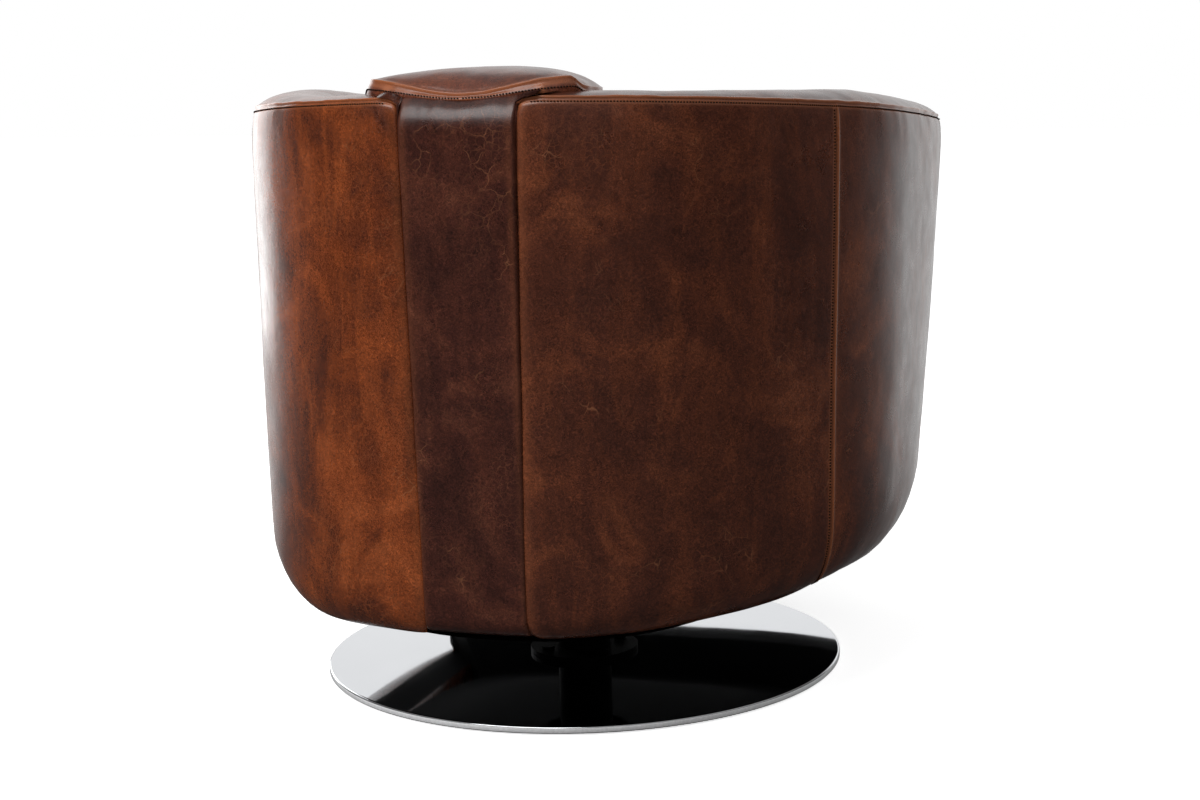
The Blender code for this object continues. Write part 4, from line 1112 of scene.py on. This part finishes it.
def apronPoint(angle, out, height):
    reach = apron["middleY"] - apron["frontY"] + out + (apron["ahead"] if out > apron["skin"] else 0.0)
    distance = oval(angle, apron["half"] + out, reach, apron["power"])
    x = max(-apron["reachX"], min(apron["reachX"], distance * math.sin(angle)))
    # The hem runs out under the arms
    hem = 1 - smoothStep(apron["kickTop"], apron["kickTop"] + apron["kickFade"], height)
    x *= 1 + apron["kick"] / apron["reachX"] * hem
    return x, apron["middleY"] + distance * math.cos(angle)


def apronLoop(angle):
    low, high, soft = apron["low"] - apron["skin"], apron["high"] + apron["skin"], apron["round"]
    bottom, top = apron["bottomDepth"] + apron["skin"], apron["topDepth"] + apron["skin"]
    inner = apron["inner"]
    profile = [(inner, low), (bottom * 0.4, low)]
    for turn in quarterArc(6):
        profile.append((bottom - soft * 0.6 * (1 - math.sin(turn)), low + soft * (1 - math.cos(turn))))
    for share in np.linspace(0.06, 0.94, apron["faceSteps"]):
        bow = apron["bow"] * math.sin(math.pi * share)
        profile.append((mix(bottom, top, share) + bow, mix(low + soft, high - soft, share)))
    for turn in quarterArc(6):
        profile.append((top - soft * (1 - math.cos(turn)), high - soft * (1 - math.sin(turn))))
    profile += [(top * 0.4, high), (inner, high), (inner, mix(high, low, 0.5)), (inner, low)]
    return [seatTilt((*apronPoint(angle, out, height), height)) for out, height in profile]


# Loops that close an end to its middle
def apronCap(angle, shares):
    end = apronLoop(angle)
    middle = sum(end, Vector()) / len(end)
    return [[spot.lerp(middle, share) for spot in end] for share in shares]


def dressApron():
    trim = math.radians(apron["cornerTrim"])
    first, last = math.radians(apron["corner"]) + trim, math.radians(360 - apron["corner"]) - trim
    loops = apronCap(first, apron["capShares"])
    loops += [apronLoop(mix(first, last, share)) for share in np.linspace(0.002, 0.998, apron["steps"])]
    loops += apronCap(last, reversed(apron["capShares"]))
    points = np.array(loops)
    normals = gridNormals(points, len(loops) // 2, apron["faceRow"], 1, -1)
    lift = ripples(points, apron, 51, 52)
    lift[:, :2] = 0.0
    lift[:, -4:] = 0.0
    maker = gridMaker(points + normals * lift[:, :, None])
    for face in maker.faces:
        if face.normal.y > 0.5 or face.normal.z < -0.6:
            face.material_index = 1
    piece = addPiece("frontApron", maker, leatherSeat, "seat", ("apron_cover", "apron_pad"))
    piece.data.materials.append(clothFinish)


dressApron()
print("apron dressed")

# Cloths: dust cover round the plate, cushion base
dustShape = {
    "height": 0.1222, "hole": 0.05, "middle": 0.1085, "inset": 0.001, "steps": 96, "rings": 10, "backY": 0.3,
    "riseFrom": 0.45, "baseMiddle": -0.1, "baseHeight": 0.265,
}


# Rings of points from an inner outline to an outer one
def clothRings(inner, outer, height):
    rings = []
    for share in np.linspace(0, 1, dustShape["rings"]):
        ring = []
        for step in range(dustShape["steps"] + 1):
            angle = 2 * math.pi * step / dustShape["steps"]
            x, y = (mix(low, high, share) for low, high in zip(inner(angle), outer(angle)))
            ring.append(seatTilt((x, y, height)))
        rings.append(ring)
    return np.array(rings).transpose(1, 0, 2)


def dressCloths():
    plan = dict(cushion, frontY=apron["frontY"], backY=dustShape["backY"])
    hole = dustShape["hole"]
    dust = clothRings(lambda angle: (hole * math.sin(angle), hole * math.cos(angle)),
                      lambda angle: cushionPoint(angle, dustShape["inset"], plan), dustShape["height"])
    for number, share in enumerate(np.linspace(0, 1, dustShape["rings"])):
        rise = smoothStep(dustShape["riseFrom"], 1.0, share)
        dust[:, number, 2] = mix(dustShape["middle"], dust[:, number, 2], rise)
    addSheet("dustCover", dust, ("dust_cover",))
    base = clothRings(lambda angle: (0.0, dustShape["baseMiddle"]),
                      lambda angle: cushionPoint(angle, cushion["edge"]), dustShape["baseHeight"])
    addSheet("cushionBase", base, ("cushion_base_cloth",))


dressCloths()
print("cloths stretched")

# CAD nodes that stay get their finishes
nodeFinishes = {
    "arm_top_board": plyFinish, "arm_foot_board": plyFinish, "web_strap": webFinish,
    "arm_post": woodFinish, "spine_post": woodFinish, "spine_top_rail": woodFinish,
    "spine_foot_block": blackFinish, "seat_rail": woodFinish, "bearer": woodFinish,
    "column_bush": nylonFinish, "thrust_washer": nylonFinish, "floor_pad": feltFinish,
    "swivel_plate": blackFinish, "spindle_clip": steelFinish, "flange_screw": blackFinish,
    "plate_screw": blackFinish, "column": blackFinish,
}
for nodeName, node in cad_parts.items():
    for start in sorted(nodeFinishes, key=len, reverse=True):
        if nodeName.startswith(start):
            node.data.materials.clear()
            node.data.materials.append(nodeFinishes[start])
            break
print("solids finished")

# Stage: white floor and surround, soft lamps
stageSetup = {
    "floorHalf": 9.0, "floorGlow": 0.75, "floorBounce": 0.25, "floorMirror": 0.03, "ambient": 0.16,
    "floorRoughness": 0.9, "floorTone": 0.9, "floorDark": 0.03, "glowRun": (0.06, 0.22),
    "backdrop": (0.316, -0.949, 0.0), "backdropTones": (0.14, 0.95), "floorSweep": (0.1, 0.45, 0.85),
    "roomSweep": (0.36, 0.62, 0.88), "roomDark": 0.02, "overhead": (0.35, 0.8), "overheadTone": 0.4,
    "lamps": {
        "keySoftbox": ((2.2, 2.5, 2.1), (0.0, 0.1, 0.5), (1.5, 2.0), 88.0, False),
        "rightSoftbox": ((-2.7, -1.0, 1.2), (0.0, 0.0, 0.4), (1.4, 2.4), 26.0, False),
        "topSoftbox": ((0.5, 1.6, 2.5), (0.0, 0.2, 0.5), (1.8, 1.2), 26.0, True),
        "cameraFill": ((-1.6, 3.0, 1.6), (0.0, 0.0, 0.4), (1.6, 1.6), 18.0, False),
        "leftRim": ((2.32, -1.68, 0.8), (0.0, 0.0, 0.4), (1.15, 2.2), 13.5, True),
    },
}


# The hide mirrors a pale backdrop behind the chair, and dark elsewhere
def backdropLevel(tree, direction, places, dark):
    along = addNode(tree, "ShaderNodeVectorMath", operation="DOT_PRODUCT", Vector=direction)
    along.inputs[1].default_value = stageSetup["backdrop"]
    tones = [grey(tone) for tone in (dark, *stageSetup["backdropTones"])]
    return addRamp(tree, along.outputs["Value"], list(zip(places, tones)), "EASE")


def addFloor():
    maker = bmesh.new()
    bmesh.ops.create_grid(maker, x_segments=1, y_segments=1, size=stageSetup["floorHalf"])
    floor = newObject("studioFloor", maker)
    material, tree, shader = newFinish("floorWhite")
    paths = addNode(tree, "ShaderNodeLightPath").outputs
    dark = grey(stageSetup["floorDark"])
    bounce = blendColour(tree, paths["Is Glossy Ray"], grey(stageSetup["floorBounce"]), dark)
    tone = blendColour(tree, paths["Is Camera Ray"], bounce, grey(stageSetup["floorTone"]))
    place = addNode(tree, "ShaderNodeTexCoord").outputs["Object"]
    outward = addNode(tree, "ShaderNodeVectorMath", operation="NORMALIZE", Vector=place)
    sweep = backdropLevel(tree, outward.outputs[0], stageSetup["floorSweep"], stageSetup["floorMirror"])
    glossy = combine(tree, "MULTIPLY", paths["Is Glossy Ray"], sweep)
    seen = combine(tree, "MAXIMUM", paths["Is Camera Ray"], glossy)
    away = addNode(tree, "ShaderNodeVectorMath", operation="LENGTH", Vector=place)
    spread = combine(tree, "DIVIDE", away.outputs["Value"], stageSetup["floorHalf"])
    tones = (grey(stageSetup["floorGlow"]), grey(1.0))
    level = addRamp(tree, spread, list(zip(stageSetup["glowRun"], tones)))
    glow = combine(tree, "MULTIPLY", seen, level)
    wire(tree, shader, {"Base Color": tone, "Emission Color": grey(1.0), "Emission Strength": glow,
                        "Roughness": stageSetup["floorRoughness"], "Specular IOR Level": 0.0})
    floor.data.materials.append(material)


def addRoom():
    world = bpy.data.worlds.new("studio")
    scene.world = world
    world.use_nodes = True
    tree = world.node_tree
    background = tree.nodes["Background"]
    paths = addNode(tree, "ShaderNodeLightPath").outputs
    seen = combine(tree, "MAXIMUM", paths["Is Camera Ray"], paths["Is Transmission Ray"])
    place = addNode(tree, "ShaderNodeTexCoord").outputs["Generated"]
    split = addNode(tree, "ShaderNodeSeparateXYZ", Vector=place)
    backdrop = backdropLevel(tree, place, stageSetup["roomSweep"], stageSetup["roomDark"])
    stops = list(zip(stageSetup["overhead"], (grey(0), grey(1))))
    overhead = addRamp(tree, split.outputs["Z"], stops, "EASE")
    glossy = blendColour(tree, overhead, backdrop, grey(stageSetup["overheadTone"]))
    tone = blendColour(tree, paths["Is Glossy Ray"], grey(stageSetup["ambient"]), glossy)
    tree.links.new(blendColour(tree, seen, tone, grey(1.0)), background.inputs["Color"])
    background.inputs["Strength"].default_value = 1.0


def addLamps():
    for name, (place, aim, size, power, glossy) in stageSetup["lamps"].items():
        data = bpy.data.lights.new(name, "AREA")
        data.shape = "RECTANGLE"
        data.size, data.size_y = size
        data.energy = power
        lamp = bpy.data.objects.new(name, data)
        scene.collection.objects.link(lamp)
        lamp.visible_glossy = glossy
        lamp.visible_camera = False
        lamp.location = place
        lamp.rotation_euler = (Vector(aim) - Vector(place)).to_track_quat("-Z", "Y").to_euler()


addFloor()
addRoom()
addLamps()
print("stage lit")
